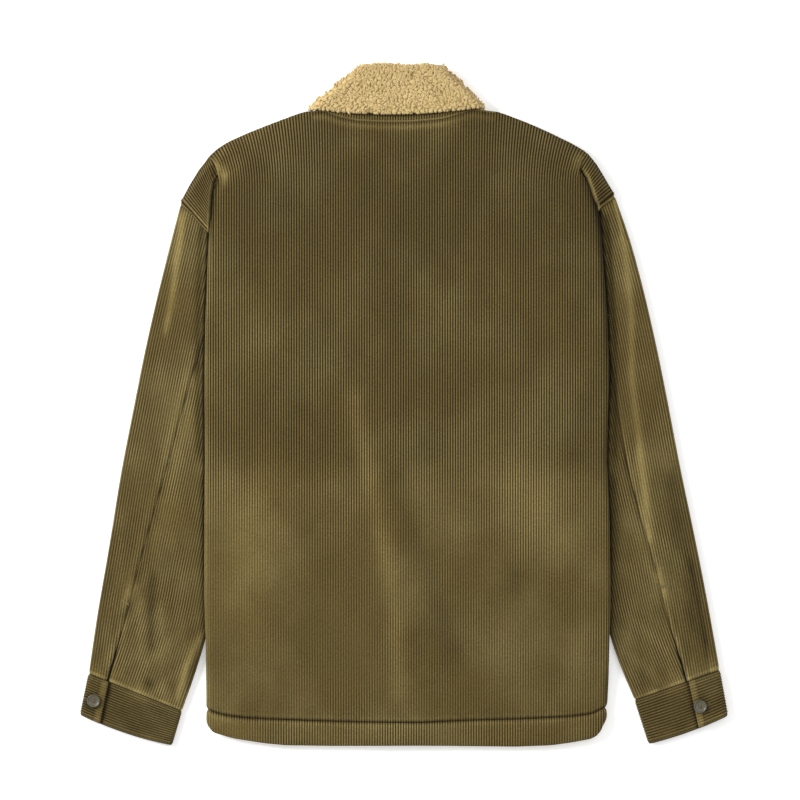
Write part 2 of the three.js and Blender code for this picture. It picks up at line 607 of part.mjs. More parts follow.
const SLEEVE_ROWS = 14;
const FRONT_SEAM_TURN = 1.62;
const VENT_START = 0.86;
const VENT_GAP = 2.4;
for (const side of ["left", "right"]) {
  const gapAt = (share) => (SEAM_GAP + VENT_GAP * smooth(VENT_START, 1, share)) / 110;
  // the upper piece runs from the elbow seam over the outer fold to the seam underneath
  const upperTurns = (share) => {
    const seam = sleeveRow(side, share).seam - gapAt(share) / 2;
    return [seam, seam * 0.75, seam * 0.5, seam * 0.25, 0.06, 0.04, 0.02, 0, -0.02, -0.04, -0.06,
      -0.14, -0.22, -0.3, FRONT_SEAM_TURN - 2];
  };
  const underTurns = (share) => {
    const seam = sleeveRow(side, share).seam + gapAt(share) / 2;
    return [seam, mix(seam, 0.94, 0.25), mix(seam, 0.94, 0.5), mix(seam, 0.94, 0.75), 0.94, 0.96, 0.98,
      1, 1.02, 1.04, 1.06, 1.2, 1.34, 1.48, FRONT_SEAM_TURN - 0.003];
  };
  const cut = (turnsAt) => wall(SLEEVE_ROWS + 1, turnsAt(0).length, (i, j, depth) => {
    const share = i / SLEEVE_ROWS;
    const turn = turnsAt(share)[j];
    return sleevePoint(side, share, turn < 0 ? turn + 2 : turn, depth);
  });
  sew("sleeve_" + side + "_upper", cut(upperTurns), CORDUROY);
  sew("sleeve_" + side + "_under", cut(underTurns), CORDUROY);
}

// The cuffs: one strip each, from its under end round the inner fold, underneath and over the
// outer fold to the end of the lap
const LAP_HEIGHT = SLEEVE_HEIGHT + SEAM_GAP + SLEEVE_WALL;
const CUFF_ROWS = 2;
const CUFF_GAP = 0.4;
for (const side of ["left", "right"]) {
  const cuff = CUFF[side];
  const last = SLEEVE[side][SLEEVE[side].length - 1];
  const edges = (share) => {
    const start = CUFF_GAP / Math.hypot(cuff.outerX - last.outerX, cuff.outerY - last.outerY);
    const along = mix(start, 1, share);
    return {
      outer: [mix(last.outerX, cuff.outerX, along), mix(last.outerY, cuff.outerY, along)],
      inner: [mix(last.innerX, cuff.innerX, along), mix(last.innerY, cuff.innerY, along)],
    };
  };
  const turns = [0.09, 0.2, 0.35, 0.5, 0.65, 0.8, 0.93, 0.96, 0.98, 1, 1.02, 1.04, 1.07, 1.25, 1.45, 1.65,
    1.85, 1.93, 1.96, 1.98, 2, 2.02, 2.04, 2.07, 2.0 + cuff.lapEnd * 0.6, 2 + cuff.lapEnd];
  sew("cuff_" + side, wall(CUFF_ROWS + 1, turns.length, (i, j, depth) => {
    const share = i / CUFF_ROWS;
    const { outer, inner } = edges(share);
    const turn = turns[j];
    const lapped = turn > 1.5;
    const point = tubePoint(outer, inner, turn > 2 ? turn - 2 : turn, lapped ? LAP_HEIGHT : SLEEVE_HEIGHT,
      SLEEVE_WALL, depth);
    const across = (point[0] - outer[0]) / (inner[0] - outer[0]);
    point[1] -= cuff.bow * share * 4 * across * (1 - across);
    return point;
  }), CORDUROY);
}

// The collar's stand: a ring from the neckline to the roll, open at the centre front
function ringPoint(place, foot, top, share, level, bowFoot) {
  // place: -3 the left end in front, -2 to -1 the left fold, 1 to 2 the right fold, 3 the right end
  const sign = place < 0 ? -1 : 1;
  const leftX = mix(foot.leftX, top.leftX, share);
  const rightX = mix(foot.rightX, top.rightX, share);
  const leftY = mix(foot.leftY, top.leftY, share);
  const rightY = mix(foot.rightY, top.rightY, share);
  const radius = (level.high - level.low) / 2;
  const r = radius - level.depth;
  const reach = Math.abs(place);
  if (reach <= 1) {
    const t = (place + 1) / 2;
    const x = mix(leftX + radius, rightX - radius, t);
    return [x, mix(leftY, rightY, t) + bowFoot(t), level.high - level.depth];
  }
  const edgeX = sign < 0 ? leftX : rightX;
  const edgeY = sign < 0 ? leftY : rightY;
  const turnX = edgeX - sign * radius;
  if (reach <= 2) {
    const angle = Math.PI * (reach - 1);
    return [turnX + sign * r * Math.sin(angle), edgeY, (level.high + level.low) / 2 + r * Math.cos(angle)];
  }
  const t = reach - 2;
  const endX = sign * mix(foot.endX, top.endX, share);
  const endY = mix(foot.endY, top.endY, share);
  return [mix(turnX, endX, t), mix(edgeY, endY, t), level.low + level.depth];
}

const RING_PLACES = [-3, -2.75, -2.5, -2.25, -2, -1.8, -1.6, -1.4, -1.2, -1, -0.75, -0.5, -0.25, 0, 0.25,
  0.5, 0.75, 1, 1.2, 1.4, 1.6, 1.8, 2, 2.25, 2.5, 2.75, 3];
const STAND_ROWS = 4;
const STAND_GAP = 1.8;
const standFoot = { ...STAND_FOOT, endX: COLLAR_END, endY: NECKLINE[0].y };
const standTop = { ...STAND_TOP, endX: COLLAR_END, endY: LEAF_END_Y + 4 };
sew("collar_stand", wall(STAND_ROWS + 1, RING_PLACES.length, (i, j, side) => {
  const share = i / STAND_ROWS;
  const high = BACK_INNER_HEIGHT + NECK_LIFT + BODY_WALL;
  const level = { low: LEAF_RISE, high, depth: side * STAND_WALL };
  const place = RING_PLACES[j];
  const reach = Math.abs(place);
  const point = ringPoint(place, standFoot, standTop, share, level, () => 0);
  const foot = ringPoint(place, standFoot, standTop, 0, level, () => 0);
  if (reach <= 1) point[1] += (1 - share) * (lookUp(NECK_SEAM, "x", "y", foot[0]) + STAND_GAP - foot[1]);
  if (reach > 2) {
    // the foot runs along the front neckline, and lifts off it near the fold
    const near = ringPoint(2 * Math.sign(place), standFoot, standTop, 0, level, () => 0);
    const lift = (near[1] - necklineY(near[0])) * (3 - reach) ** 3;
    point[1] += (1 - share) * (necklineY(foot[0]) + STAND_GAP + lift - foot[1]);
  }
  return point;
}), CORDUROY);

// The collar's fall: the same ring outside the stand, from the roll down over the back, with
// its two leaves under the fronts
const FALL_ROWS = 7;
const fallTop = { ...FALL_ROLL, endX: COLLAR_END, endY: LEAF_END_Y };
const fallFoot = { ...FALL_EDGE, endX: LEAF_POINT.x, endY: LEAF_POINT.y };
sew("collar_fall", wall(FALL_ROWS + 1, RING_PLACES.length, (i, j, side) => {
  const share = i / FALL_ROWS;
  const high = FALL_INNER_HEIGHT + FALL_WALL;
  const round = Math.min(1, Math.max(0, Math.abs(RING_PLACES[j]) - 1));
  const thick = mix(FALL_WALL, LEAF_WALL, round);
  const level = { low: 0, high, depth: side * thick };
  return ringPoint(RING_PLACES[j], fallTop, fallFoot, share, level,
    (t) => share * FALL_EDGE_BOW * 4 * t * (1 - t));
}), SHERPA);

// The buttons: thin dished discs
function buttonGeometry(sides) {
  const half = BUTTON_THICKNESS / 2;
  const profile = [
    [0, -half], [0.72 * BUTTON_RADIUS, -half], [BUTTON_RADIUS, -0.2 * half], [BUTTON_RADIUS, 0.5 * half],
    [0.9 * BUTTON_RADIUS, half], [0.74 * BUTTON_RADIUS, 0.85 * half], [0.6 * BUTTON_RADIUS, 0.2 * half],
    [0, 0.1 * half],
  ].map(([r, z]) => new THREE.Vector2(r, z));
  const geometry = new THREE.LatheGeometry(profile, sides);
  geometry.rotateX(Math.PI / 2);
  geometry.deleteAttribute("normal");
  geometry.deleteAttribute("uv");
  return mergeVertices(geometry, 1e-3);
}

for (const side of ["left", "right"]) {
  const geometry = buttonGeometry(16);
  geometry.translate(CUFF[side].buttonX, CUFF[side].buttonY, LAP_HEIGHT + SEAM_GAP + BUTTON_THICKNESS / 2);
  sew("button_cuff_" + side, geometry, HORN);
}
for (let k = 0; k < FRONT_BUTTON_COUNT; k += 1) {
  const geometry = buttonGeometry(8);
  geometry.rotateX(Math.PI);
  geometry.translate(0, FRONT_BUTTON_LOWEST + k * FRONT_BUTTON_PITCH, BUTTON_THICKNESS / 2);
  sew("button_front_" + (k + 1), geometry, HORN);
}

export default jacket;
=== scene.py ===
import math
import bpy
import bmesh
import numpy as np
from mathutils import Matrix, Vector, kdtree, noise


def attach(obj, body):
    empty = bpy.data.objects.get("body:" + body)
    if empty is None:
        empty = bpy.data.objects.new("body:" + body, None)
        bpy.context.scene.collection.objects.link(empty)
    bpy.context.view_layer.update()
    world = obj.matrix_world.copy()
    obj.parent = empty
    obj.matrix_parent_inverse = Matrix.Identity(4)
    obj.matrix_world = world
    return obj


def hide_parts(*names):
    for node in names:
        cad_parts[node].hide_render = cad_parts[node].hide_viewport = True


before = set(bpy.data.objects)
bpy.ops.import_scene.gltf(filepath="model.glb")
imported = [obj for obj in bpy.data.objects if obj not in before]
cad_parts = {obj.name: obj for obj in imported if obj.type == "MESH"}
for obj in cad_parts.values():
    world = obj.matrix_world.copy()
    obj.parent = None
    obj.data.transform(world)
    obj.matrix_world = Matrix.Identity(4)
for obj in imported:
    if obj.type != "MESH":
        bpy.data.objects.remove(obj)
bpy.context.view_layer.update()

bpy.ops.object.select_all(action="DESELECT")

# The back
# One cut piece of olive corduroy with a pile backing. Its sides are folded under to the side seams
# and lie over the sleeves; its dropped shoulder ends come out beside the folds, to the armhole seams.
# Sizes are in millimetres until a mesh is made, and tables by side have -1 for left and 1 for right.
MM = 0.001
WALE = 3.07
RIB_HEIGHT = 0.8
BODY_WALL = 5.0
SEAM_GAP = 0.3
SLEEVE_HEIGHT = 9.0
SIDE_RISE = SLEEVE_HEIGHT + SEAM_GAP
LEAF_RISE = 5.3
SHOULDER_SEAM = BODY_WALL + 1.2
BODY_EDGE = {
    -1: [(-402, -231), (-356, -232.8), (-286, -233.3), (-221, -235.2), (-158, -235.1), (-73, -234.2),
         (8, -234.7), (98, -234), (142, -232), (203, -229.5), (231, -227.3), (258, -225), (275, -221),
         (292, -217), (309.2, -209.5), (321, -183.5), (332.8, -152.8), (344.6, -121)],
    1: [(-402, 237.5), (-364, 240), (-324.5, 242.4), (-275, 243.2), (-221, 244.5), (-136, 243.2),
        (-67, 239.9), (41, 242.6), (104, 240.5), (172, 235.3), (226, 231.3), (249.5, 223.6), (265, 219),
        (282, 213), (296, 208.5), (309.2, 197.6), (321, 172.9), (332.8, 145.7), (344.6, 115)],
}
SHOULDER = {
    -1: [(-263.7, 238.4), (-257.8, 250.2), (-250.8, 262), (-243.7, 273.8), (-235.4, 285.6), (-226, 297.4),
         (-209.5, 309.2), (-183.5, 321), (-152.8, 332.8), (-121, 344.6), (-96, 350)],
    1: [(249.8, 247.8), (241.3, 262), (234.2, 273.8), (227.2, 285.6), (217.7, 297.4), (197.6, 309.2),
        (172.9, 321), (145.7, 332.8), (115, 344.6), (82, 350)],
}
ARMHOLE = {
    -1: [(6, -172), (60, -186), (110, -199), (160, -213), (203.4, -229.5), (215.2, -240.4),
         (227.9, -251.2), (238.4, -263.7)],
    1: [(6, 176), (62, 188), (115, 200), (168, 213), (212, 225), (233.3, 231.6), (243.2, 247),
        (247.8, 249.8)],
}
SLEEVE_INNER = {
    -1: [(-361.5, -261.1), (-315, -244.5), (-270, -231), (-222, -221), (-175, -211), (-128, -201),
         (-82, -191), (-36, -181)],
    1: [(-348.5, 272.5), (-304, 253.5), (-262, 240), (-218, 230), (-173, 219), (-128, 208), (-83, 197),
        (-38, 186)],
}
FOLD_TOP = {-1: 203.4, 1: 233.3}
GROOVE = [(-235, -357), (-226, -361.7), (-212, -366), (-182.7, -369.8), (-155, -371), (-105.6, -373),
          (-36, -374.7), (18.3, -375), (88, -372), (133, -371), (200, -367.5), (223, -364.3),
          (233.3, -359), (242, -355.5)]
HEM_EDGE = [(-233, -377), (-226, -386), (-201.8, -393.3), (-165.4, -399), (-139.4, -401.6), (-78.8, -402.4),
            (19.5, -402), (132.8, -403.2), (174.5, -401.6), (200.5, -398), (222.9, -393.8), (231.6, -387.6),
            (240, -372)]
NECK_SEAM = [(-121, 344.6), (-94, 348.5), (-75.4, 341.8), (-55, 337.5), (-23, 335.8), (8, 336),
             (32, 338), (48, 340), (63.6, 345), (82, 349.6), (115, 344.6)]
BACK_CREASES = [
    ([(-63, 18), (-50, -30), (-34, -88)], 10, 1.5),
    ([(-178, -60), (-190, -200), (-186, -345)], 24, 1.8),
    ([(-199, -290), (-190, -330), (-196, -366)], 9, 1.3),
    ([(-166, -300), (-163, -340), (-170, -368)], 8, -1.0),
    ([(186, 150), (190, 20), (178, -120)], 22, 1.4),
    ([(140, -110), (170, -200), (206, -300)], 22, -1.4),
    ([(-150, 190), (-180, 120), (-200, 60)], 20, -1.2),
    ([(60, -120), (84, -220), (96, -330)], 28, 1.4),
    ([(-110, -150), (-120, -260)], 26, 1.1),
    ([(120, 230), (150, 160), (158, 60)], 24, -0.9),
    ([(-40, 240), (-20, 120)], 30, 0.8),
]


def mix(low, high, share):
    """The value a share of the way from low to high."""
    return low + (high - low) * share


def smooth(low, high, value):
    """0 up to low and 1 from high on, with a soft rise between; high may be the smaller."""
    share = np.clip((value - low) / (high - low), 0.0, 1.0)
    return share * share * (3 - 2 * share)


def along(table, place, soft=0.0):
    """The table's value at a place, its corners rounded over a distance of soft."""
    keys, values = zip(*sorted(table))
    steps = (-1.0, -0.5, 0.0, 0.5, 1.0) if soft else (0.0,)
    return sum(np.interp(place + step * soft, keys, values) for step in steps) / len(steps)


def both(side, left, right):
    """The left value where side is below 0 and the right one elsewhere."""
    return np.where(side < 0, left, right)


def body_edge(side, y):
    """Where the body's side fold lies at a height on the body."""
    return both(side, along(BODY_EDGE[-1], y, 5), along(BODY_EDGE[1], y, 5))


def side_rise(side, x, y):
    """How far the cloth at the sides climbs to lie on the sleeve."""
    inside = both(side, *(np.abs(along(SLEEVE_INNER[k] + ARMHOLE[k], np.minimum(y, FOLD_TOP[k])))
                          for k in (-1, 1)))
    return SIDE_RISE * smooth(0, 20, np.abs(x) + 30 - inside)


def crease_height(x, y, creases):
    """Soft ridges and troughs: each crease is a line of points, a half width and a height."""
    total = np.zeros(np.broadcast(x, y).shape)
    for line, width, height in creases:
        nearest = np.full(total.shape, 1e9)
        for (ax, ay), (bx, by) in zip(line, line[1:]):
            run = (bx - ax) ** 2 + (by - ay) ** 2
            share = np.clip(((x - ax) * (bx - ax) + (y - ay) * (by - ay)) / run, 0, 1)
            nearest = np.minimum(nearest, np.hypot(x - mix(ax, bx, share), y - mix(ay, by, share)))
        total += height * bell(nearest, width)
    return total


def wave(x, y, pitch, seed):
    """A slow uneven swell, between -1 and 1."""
    a, b, c = seed * 1.7, seed * 2.3, seed * 3.1
    return (np.sin(x / pitch + a) * np.cos(y / (1.3 * pitch) + b)
            + 0.6 * np.sin((x + y) / (0.61 * pitch) + c)
            + 0.4 * np.cos((x - 0.7 * y) / (0.37 * pitch) + a)) / 2


def bell(distance, width):
    """1 at no distance, dying away past the width."""
    return np.exp(-((distance / width) ** 2))


def leaf_rise(x, y):
    """How far the fronts climb to lie on the collar's leaves."""
    wide = np.abs(x)
    return LEAF_RISE * smooth(158, 186, y) * smooth(20, 33, wide) * (1 - smooth(152, 190, wide))


def shoulder_y(x):
    """The height of the shoulder's outline."""
    return both(x, along(SHOULDER[-1], x, 6), along(SHOULDER[1], x, 6))


def back_inner(x, y):
    """The height of the back's inner face above the table."""
    wide = np.abs(x)
    side = smooth(75, 158, wide) * smooth(-345, -250, y)
    neck = smooth(40, 190, y)
    flat = (8 + 7.3 * side + 4.5 * (1 - side) * neck + 2.2 * (1 - smooth(20, 60, wide)) * (1 - neck)
            + crease_height(x, y, BACK_CREASES) + 0.35 * wave(x, y, 46, 1))
    drop = smooth(0, 14, np.where(wide > 95, shoulder_y(x) - y, 14))
    return mix(SHOULDER_SEAM + leaf_rise(x, y), flat, drop)


def crevice_dip(x, y):
    """The valley where the back dips beside the fold of a dropped shoulder."""
    top = both(x, FOLD_TOP[-1], FOLD_TOP[1])
    reach = smooth(top - 30, top - 5, y) * (1 - smooth(268, 292, y))
    return 6.0 * reach * bell(np.abs(body_edge(x, y)) - np.abs(x), 8)


# The ribs lean outwards near the shoulders: by how much at the shoulder's edge, from which height,
# and that edge's height, each by the rib's distance from the middle.
WRAP_END = 308.0
CREVICE_TOP = {-1: 273.0, 1: 281.0}
LEAN = {-1: [(60, 0), (90, 1), (120, 4), (150, 8), (180, 11.5), (200, 12.5), (219, 12.5)],
        1: [(60, 0), (90, 1), (120, 4), (150, 8), (175, 11), (200, 12.5), (211, 13)]}
LEAN_START = {-1: [(60, 260), (180, 258), (200, 262), (219, 270)],
              1: [(60, 258), (175, 256), (200, 264), (211, 274)]}
LEAN_TOP = {-1: [(90, 348), (120, 342), (150, 330), (180, 318), (200, 307), (219, 290.7)],
            1: [(90, 346), (115, 344), (145, 332), (172, 321), (200, 301), (211, 294)]}


def fold_round(side, y):
    """The side fold's turning point, radius and lowest height."""
    y = np.minimum(y, both(side, CREVICE_TOP[-1], CREVICE_TOP[1]))
    # beside the fold of the dropped shoulder it draws back and leaves a slit
    fold = both(side, FOLD_TOP[-1], FOLD_TOP[1])
    edge = body_edge(side, y) - side * 0.4 * smooth(fold - 22, fold + 6, y) * (1 - smooth(264, 276, y))
    top = back_inner(edge - side * 6, y) - crevice_dip(edge - side * 6, y) + BODY_WALL
    bottom = side_rise(side, edge - side * 6, y)
    radius = (top - bottom) / 2
    return np.abs(edge) - radius, radius, bottom


def back_section(place, y, depth):
    """The back's point at a place across its section, at a height on the body."""
    side = np.sign(place)
    far = np.abs(place)
    turn, radius, bottom = fold_round(side, y)
    turn_end = turn + np.pi * radius
    lean_by, start, top = (both(side, along(table[-1], far), along(table[1], far))
                           for table in (LEAN, LEAN_START, LEAN_TOP))
    lean = lean_by * np.clip((y - start) / (top - start), 0, 1.1) ** 2
    flat_x = side * (np.minimum(far, turn) + lean)
    angle = np.clip((far - turn) / radius, 0, np.pi)
    seam = both(side, -ARMHOLE[-1][0][1], ARMHOLE[1][0][1])
    wrap_x = side * mix(turn, seam, np.clip((far - turn_end) / (WRAP_END - turn_end), 0, 1))
    flat = far <= turn
    wrapped = far >= turn_end
    x = np.where(flat, flat_x, np.where(wrapped, wrap_x, side * (turn + (radius - depth) * np.sin(angle))))
    flat_z = back_inner(flat_x, y) - crevice_dip(flat_x, y) + BODY_WALL - depth
    curled_z = bottom + radius + (radius - depth) * np.cos(angle)
    wrap_z = side_rise(side, wrap_x, y) + depth
    return x, np.where(flat, flat_z, np.where(wrapped, wrap_z, curled_z))


def rib(place):
    """How high the pile stands, 0 in a valley and 1 on a ridge."""
    phase = place / WALE - np.floor(place / WALE)
    return 1 - np.abs(2 * phase - 1) ** 2.2


def column_places(start, end, columns_a_rib):
    """Places of the grid's columns, so many to a rib."""
    count = round((end - start) / WALE * columns_a_rib)
    return start + np.arange(count + 1) * (end - start) / count


def spread(count, near):
    """Row shares from 0 to 1 with a few rows close to each end."""
    near = np.array(near)
    middle = np.linspace(near[-1], 1 - near[-1], count)[1:-1]
    return np.concatenate([near, middle, 1 - near[::-1]])


def set_inputs(tree, node, inputs):
    """Give a node's inputs, by name or number, a value each or a link from (node, output)."""
    for key, value in inputs.items():
        if isinstance(value, tuple) and isinstance(value[0], bpy.types.Node):
            tree.links.new(value[0].outputs[value[1]], node.inputs[key])
        else:
            node.inputs[key].default_value = value


def add_node(tree, kind, inputs, **settings):
    """A new node with its settings, and its inputs as in set_inputs."""
    node = tree.nodes.new(kind)
    for key, value in settings.items():
        setattr(node, key, value)
    set_inputs(tree, node, inputs)
    return node


def new_material(name, inputs):
    """A material, its node tree, its shader and the place on the object."""
    material = bpy.data.materials.new(name)
    material.use_nodes = True
    tree = material.node_tree
    shader = tree.nodes["Principled BSDF"]
    set_inputs(tree, shader, inputs)
    return material, tree, shader, add_node(tree, "ShaderNodeTexCoord", {})


# The mottle that all the cloths share: a fine fleck and a slow drift of the nap
mottle = bpy.data.node_groups.new("nap_mottle", "ShaderNodeTree")
for in_out, kind, word in (("INPUT", "Vector", "Vector"), ("INPUT", "Float", "Fleck Scale"),
                           ("INPUT", "Float", "Drift Scale"), ("OUTPUT", "Float", "Fleck"),
                           ("OUTPUT", "Float", "Drift")):
    mottle.interface.new_socket(word, in_out=in_out, socket_type="NodeSocket" + kind)
mottle_in = add_node(mottle, "NodeGroupInput", {})
fleck = add_node(mottle, "ShaderNodeTexNoise",
                 {"Vector": (mottle_in, 0), "Scale": (mottle_in, 1), "Detail": 4.0, "Roughness": 0.7})
drift = add_node(mottle, "ShaderNodeTexNoise",
                 {"Vector": (mottle_in, 0), "Scale": (mottle_in, 2), "Detail": 3.0, "Roughness": 0.55})
add_node(mottle, "NodeGroupOutput", {"Fleck": (fleck, "Fac"), "Drift": (drift, "Fac")})

# The corduroy: light pile on the ridges, dark ground in the valleys, brushed unevenly; the nap and shade
# attribute also paints light and shade into the colour, and painted highlights fill the valleys as worn pile
# does
VALLEY = (0.022, 0.013, 0.003, 1)
RIDGE = (0.150, 0.109, 0.034, 1)
BRUSHED_AND_LIT = (0.200, 0.154, 0.056, 1)
MIX_SHARE, MIX_LOW, MIX_HIGH, MIX_COLOUR = 0, 6, 7, 2
corduroy, tree, shader, coordinates = new_material("olive_corduroy", {
    "Roughness": 0.95, "Sheen Weight": 0.08, "Sheen Roughness": 0.5, "Sheen Tint": (0.75, 0.68, 0.45, 1),
    "Specular IOR Level": 0.15})
where = add_node(tree, "ShaderNodeUVMap", {}, uv_map="pattern")
nap_and_shade_by = add_node(tree, "ShaderNodeAttribute", {}, attribute_name="nap_and_shade")
wear_and_highlight_by = add_node(tree, "ShaderNodeAttribute", {}, attribute_name="wear_and_highlight")
split = add_node(tree, "ShaderNodeSeparateXYZ", {0: (where, 0)})
phase = add_node(tree, "ShaderNodeMath", {0: (split, "X"), 1: 0.5}, operation="PINGPONG")
pile = add_node(tree, "ShaderNodeMapRange", {0: (phase, 0), 1: 0.12, 2: 0.38},
                interpolation_type="SMOOTHSTEP")
closed = add_node(tree, "ShaderNodeMath", {0: (pile, 0), 1: (wear_and_highlight_by, "Fac")}, operation="MAXIMUM")
# this node gives only the nap's fine fleck and slow drift
nap_and_shade = add_node(tree, "ShaderNodeGroup", {}, node_tree=mottle)
set_inputs(tree, nap_and_shade, {0: (coordinates, "Object"), 1: 900.0, 2: 9.0})
nap_shade_and_drift = add_node(tree, "ShaderNodeMath", {0: (nap_and_shade_by, "Fac"), 1: 0.22, 2: (nap_and_shade, "Drift")},
                         operation="MULTIPLY_ADD")
brushed_and_lit = add_node(tree, "ShaderNodeMapRange", {0: (nap_shade_and_drift, 0), 1: 0.40, 2: 0.64})
ridge_mix = add_node(tree, "ShaderNodeMix", {MIX_SHARE: (brushed_and_lit, 0), MIX_LOW: RIDGE, MIX_HIGH: BRUSHED_AND_LIT},
                     data_type="RGBA")
cloth_mix = add_node(tree, "ShaderNodeMix", {MIX_SHARE: (closed, 0), MIX_LOW: VALLEY,
                                             MIX_HIGH: (ridge_mix, MIX_COLOUR)}, data_type="RGBA")
stretch = add_node(tree, "ShaderNodeMapping", {0: (where, 0), "Scale": (0.8, 0.55, 1.0)})
streak = add_node(tree, "ShaderNodeTexNoise", {0: (stretch, 0), 2: 2.2, 3: 3.0, 4: 0.6})
tone = add_node(tree, "ShaderNodeMath", {0: (streak, "Fac"), 1: 0.5, 2: 0.5}, operation="MULTIPLY_ADD")
tone_range = add_node(tree, "ShaderNodeMapRange", {0: (tone, 0), 1: 0.66, 2: 0.84, 3: 0.74, 4: 1.22})
# the nap and shade value scales the colour: brushed pile, painted shade darker and painted highlight lighter
nap_and_shade_tone = add_node(tree, "ShaderNodeMapRange", {0: (nap_and_shade_by, "Fac"), 1: -1.0, 2: 1.0, 3: 0.45, 4: 1.55},
                    clamp=False)
full_tone = add_node(tree, "ShaderNodeMath", {0: (tone_range, 0), 1: (nap_and_shade_tone, 0)}, operation="MULTIPLY")
toned = add_node(tree, "ShaderNodeVectorMath", {0: (cloth_mix, MIX_COLOUR), "Scale": (full_tone, 0)},
                 operation="SCALE")
fibre = add_node(tree, "ShaderNodeBump", {0: 0.5, 1: 0.0003, "Height": (nap_and_shade, "Fleck")})
set_inputs(tree, shader, {"Base Color": (toned, 0), "Normal": (fibre, 0)})

# The pile on the inside of the cloth, seen only at the openings, with painted shade between the curls
lining, tree, shader, coordinates = new_material("sherpa_lining", {"Roughness": 1.0, "Sheen Weight": 0.3})
curl = add_node(tree, "ShaderNodeTexVoronoi", {"Vector": (coordinates, "Object"), 2: 260.0})
curl_tone_and_shade = add_node(tree, "ShaderNodeMix", {MIX_SHARE: (curl, "Distance"), MIX_LOW: (0.60, 0.45, 0.22, 1),
                                             MIX_HIGH: (0.30, 0.20, 0.08, 1)}, data_type="RGBA")
curl_bump = add_node(tree, "ShaderNodeBump", {0: 0.9, 1: 0.0015, "Height": (curl, "Distance")}, invert=True)
set_inputs(tree, shader, {"Base Color": (curl_tone_and_shade, MIX_COLOUR), "Normal": (curl_bump, 0)})


def sew_cloth(name, outer, inner, pattern, nodes, materials=None, nap_and_shade=0.0, wear_and_highlight=0.0):
    """A closed shell over two grids of points, with the pattern's place as its UV map.

    The nap and shade value holds how the pile is brushed together with painted light and shade: above 0
    it looks lighter, below 0 darker, down to -1.7 in deep painted shade. Where the wear and highlight
    value goes towards 1 the pile is crushed and the valleys close, for worn pile and for painted highlights.
    """
    rows, columns = outer.shape[:2]
    # the plain inner face keeps one column in five, and both columns of a step in the outline
    steps = np.flatnonzero(np.abs(np.diff(inner[[0, -1]], axis=1)).max(axis=(0, 2)) > 5)
    kept = np.array(sorted({*range(0, columns, 5), columns - 1, *steps, *(steps + 1)}))
    nearest = np.abs(np.arange(columns)[:, None] - kept[None, :]).argmin(axis=1)
    inner = inner[:, kept[nearest]]
    top = np.arange(rows * columns).reshape(rows, columns)
    under = top + rows * columns

    def faces(a, b, c, d):
        return np.stack([a.ravel(), b.ravel(), c.ravel(), d.ravel()], axis=1)

    groups = [
        (0, faces(top[:-1, :-1], top[:-1, 1:], top[1:, 1:], top[1:, :-1])),
        (1, faces(under[:-1, :-1], under[1:, :-1], under[1:, 1:], under[:-1, 1:])),
        (2, faces(top[:-1, 0], top[1:, 0], under[1:, 0], under[:-1, 0])),
        (2, faces(top[1:, -1], top[:-1, -1], under[:-1, -1], under[1:, -1])),
        (2, faces(top[0, 1:], top[0, :-1], under[0, :-1], under[0, 1:])),
        (2, faces(top[-1, :-1], top[-1, 1:], under[-1, 1:], under[-1, :-1])),
    ]
    quads = np.concatenate([quad for _, quad in groups])
    kinds = np.concatenate([np.full(len(quad), kind) for kind, quad in groups])
    points = np.concatenate([outer.reshape(-1, 3), inner.reshape(-1, 3)]) * MM
    mesh = bpy.data.meshes.new(name)
    mesh.from_pydata(points.tolist(), [], quads.tolist())
    places = np.concatenate([pattern.reshape(-1, 2)] * 2)
    mesh.uv_layers.new(name="pattern").data.foreach_set("uv", places[quads.ravel()].ravel())
    mesh.polygons.foreach_set("material_index", (kinds == 1).astype(np.int32))
    mesh.polygons.foreach_set("use_smooth", kinds < 2)
    for effect, values in (("nap_and_shade", np.clip(nap_and_shade, -1.7, 1.5)), ("wear_and_highlight", np.clip(wear_and_highlight, 0, 1))):
        values = np.broadcast_to(values, (rows, columns)).astype(float).ravel()
        amounts = mesh.attributes.new(effect, "FLOAT", "POINT")
        amounts.data.foreach_set("value", np.concatenate([values, values]))
    mesh.update()
    shell = bmesh.new()
    shell.from_mesh(mesh)
    bmesh.ops.remove_doubles(shell, verts=shell.verts, dist=0.00001)
    bmesh.ops.recalc_face_normals(shell, faces=shell.faces)
    shell.to_mesh(mesh)
    shell.free()
    piece = bpy.data.objects.new(name, mesh)
    bpy.context.scene.collection.objects.link(piece)
    for material in materials or (corduroy, lining):
        mesh.materials.append(material)
    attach(piece, "root")
    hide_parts(*nodes)
    return piece


places = column_places(-WRAP_END, WRAP_END, 5)
side = np.where(places < 0, -1.0, 1.0)
far = np.abs(places)
lowest = back_section(places, np.full(places.shape, -372.0), 0)[0]
bottom_y = along(GROOVE, lowest, 4) + 0.05
# each rib ends at the neck, the shoulder, the crevice or the armhole
heights = np.linspace(230, 352, 500)[:, None] * np.ones_like(places)
over = heights > shoulder_y(back_section(places * np.ones_like(heights), heights, 0)[0])
over[-1] = True
top_y = np.where(far > 110, heights[np.argmax(over, axis=0), 0], along(NECK_SEAM, places, 5))
crevice_top = both(side, CREVICE_TOP[-1], CREVICE_TOP[1])
fold_top = both(side, FOLD_TOP[-1], FOLD_TOP[1])
top_turn = fold_round(side, crevice_top)[0]
low_turn, low_radius, _ = fold_round(side, fold_top)
turn_end = low_turn + np.pi * low_radius
round_fold = np.clip((far - top_turn) / (turn_end - top_turn), 0, 1)
top_y = np.where(far > top_turn, mix(crevice_top, fold_top, round_fold), top_y)
wrap_x = back_section(places, np.full(places.shape, 100.0), 0)[0]
armhole_y = both(side, *(along([(abs(x), y) for y, x in ARMHOLE[k]], np.abs(wrap_x)) for k in (-1, 1)))
top_y = np.where(far >= turn_end, np.minimum(armhole_y, fold_top), top_y)
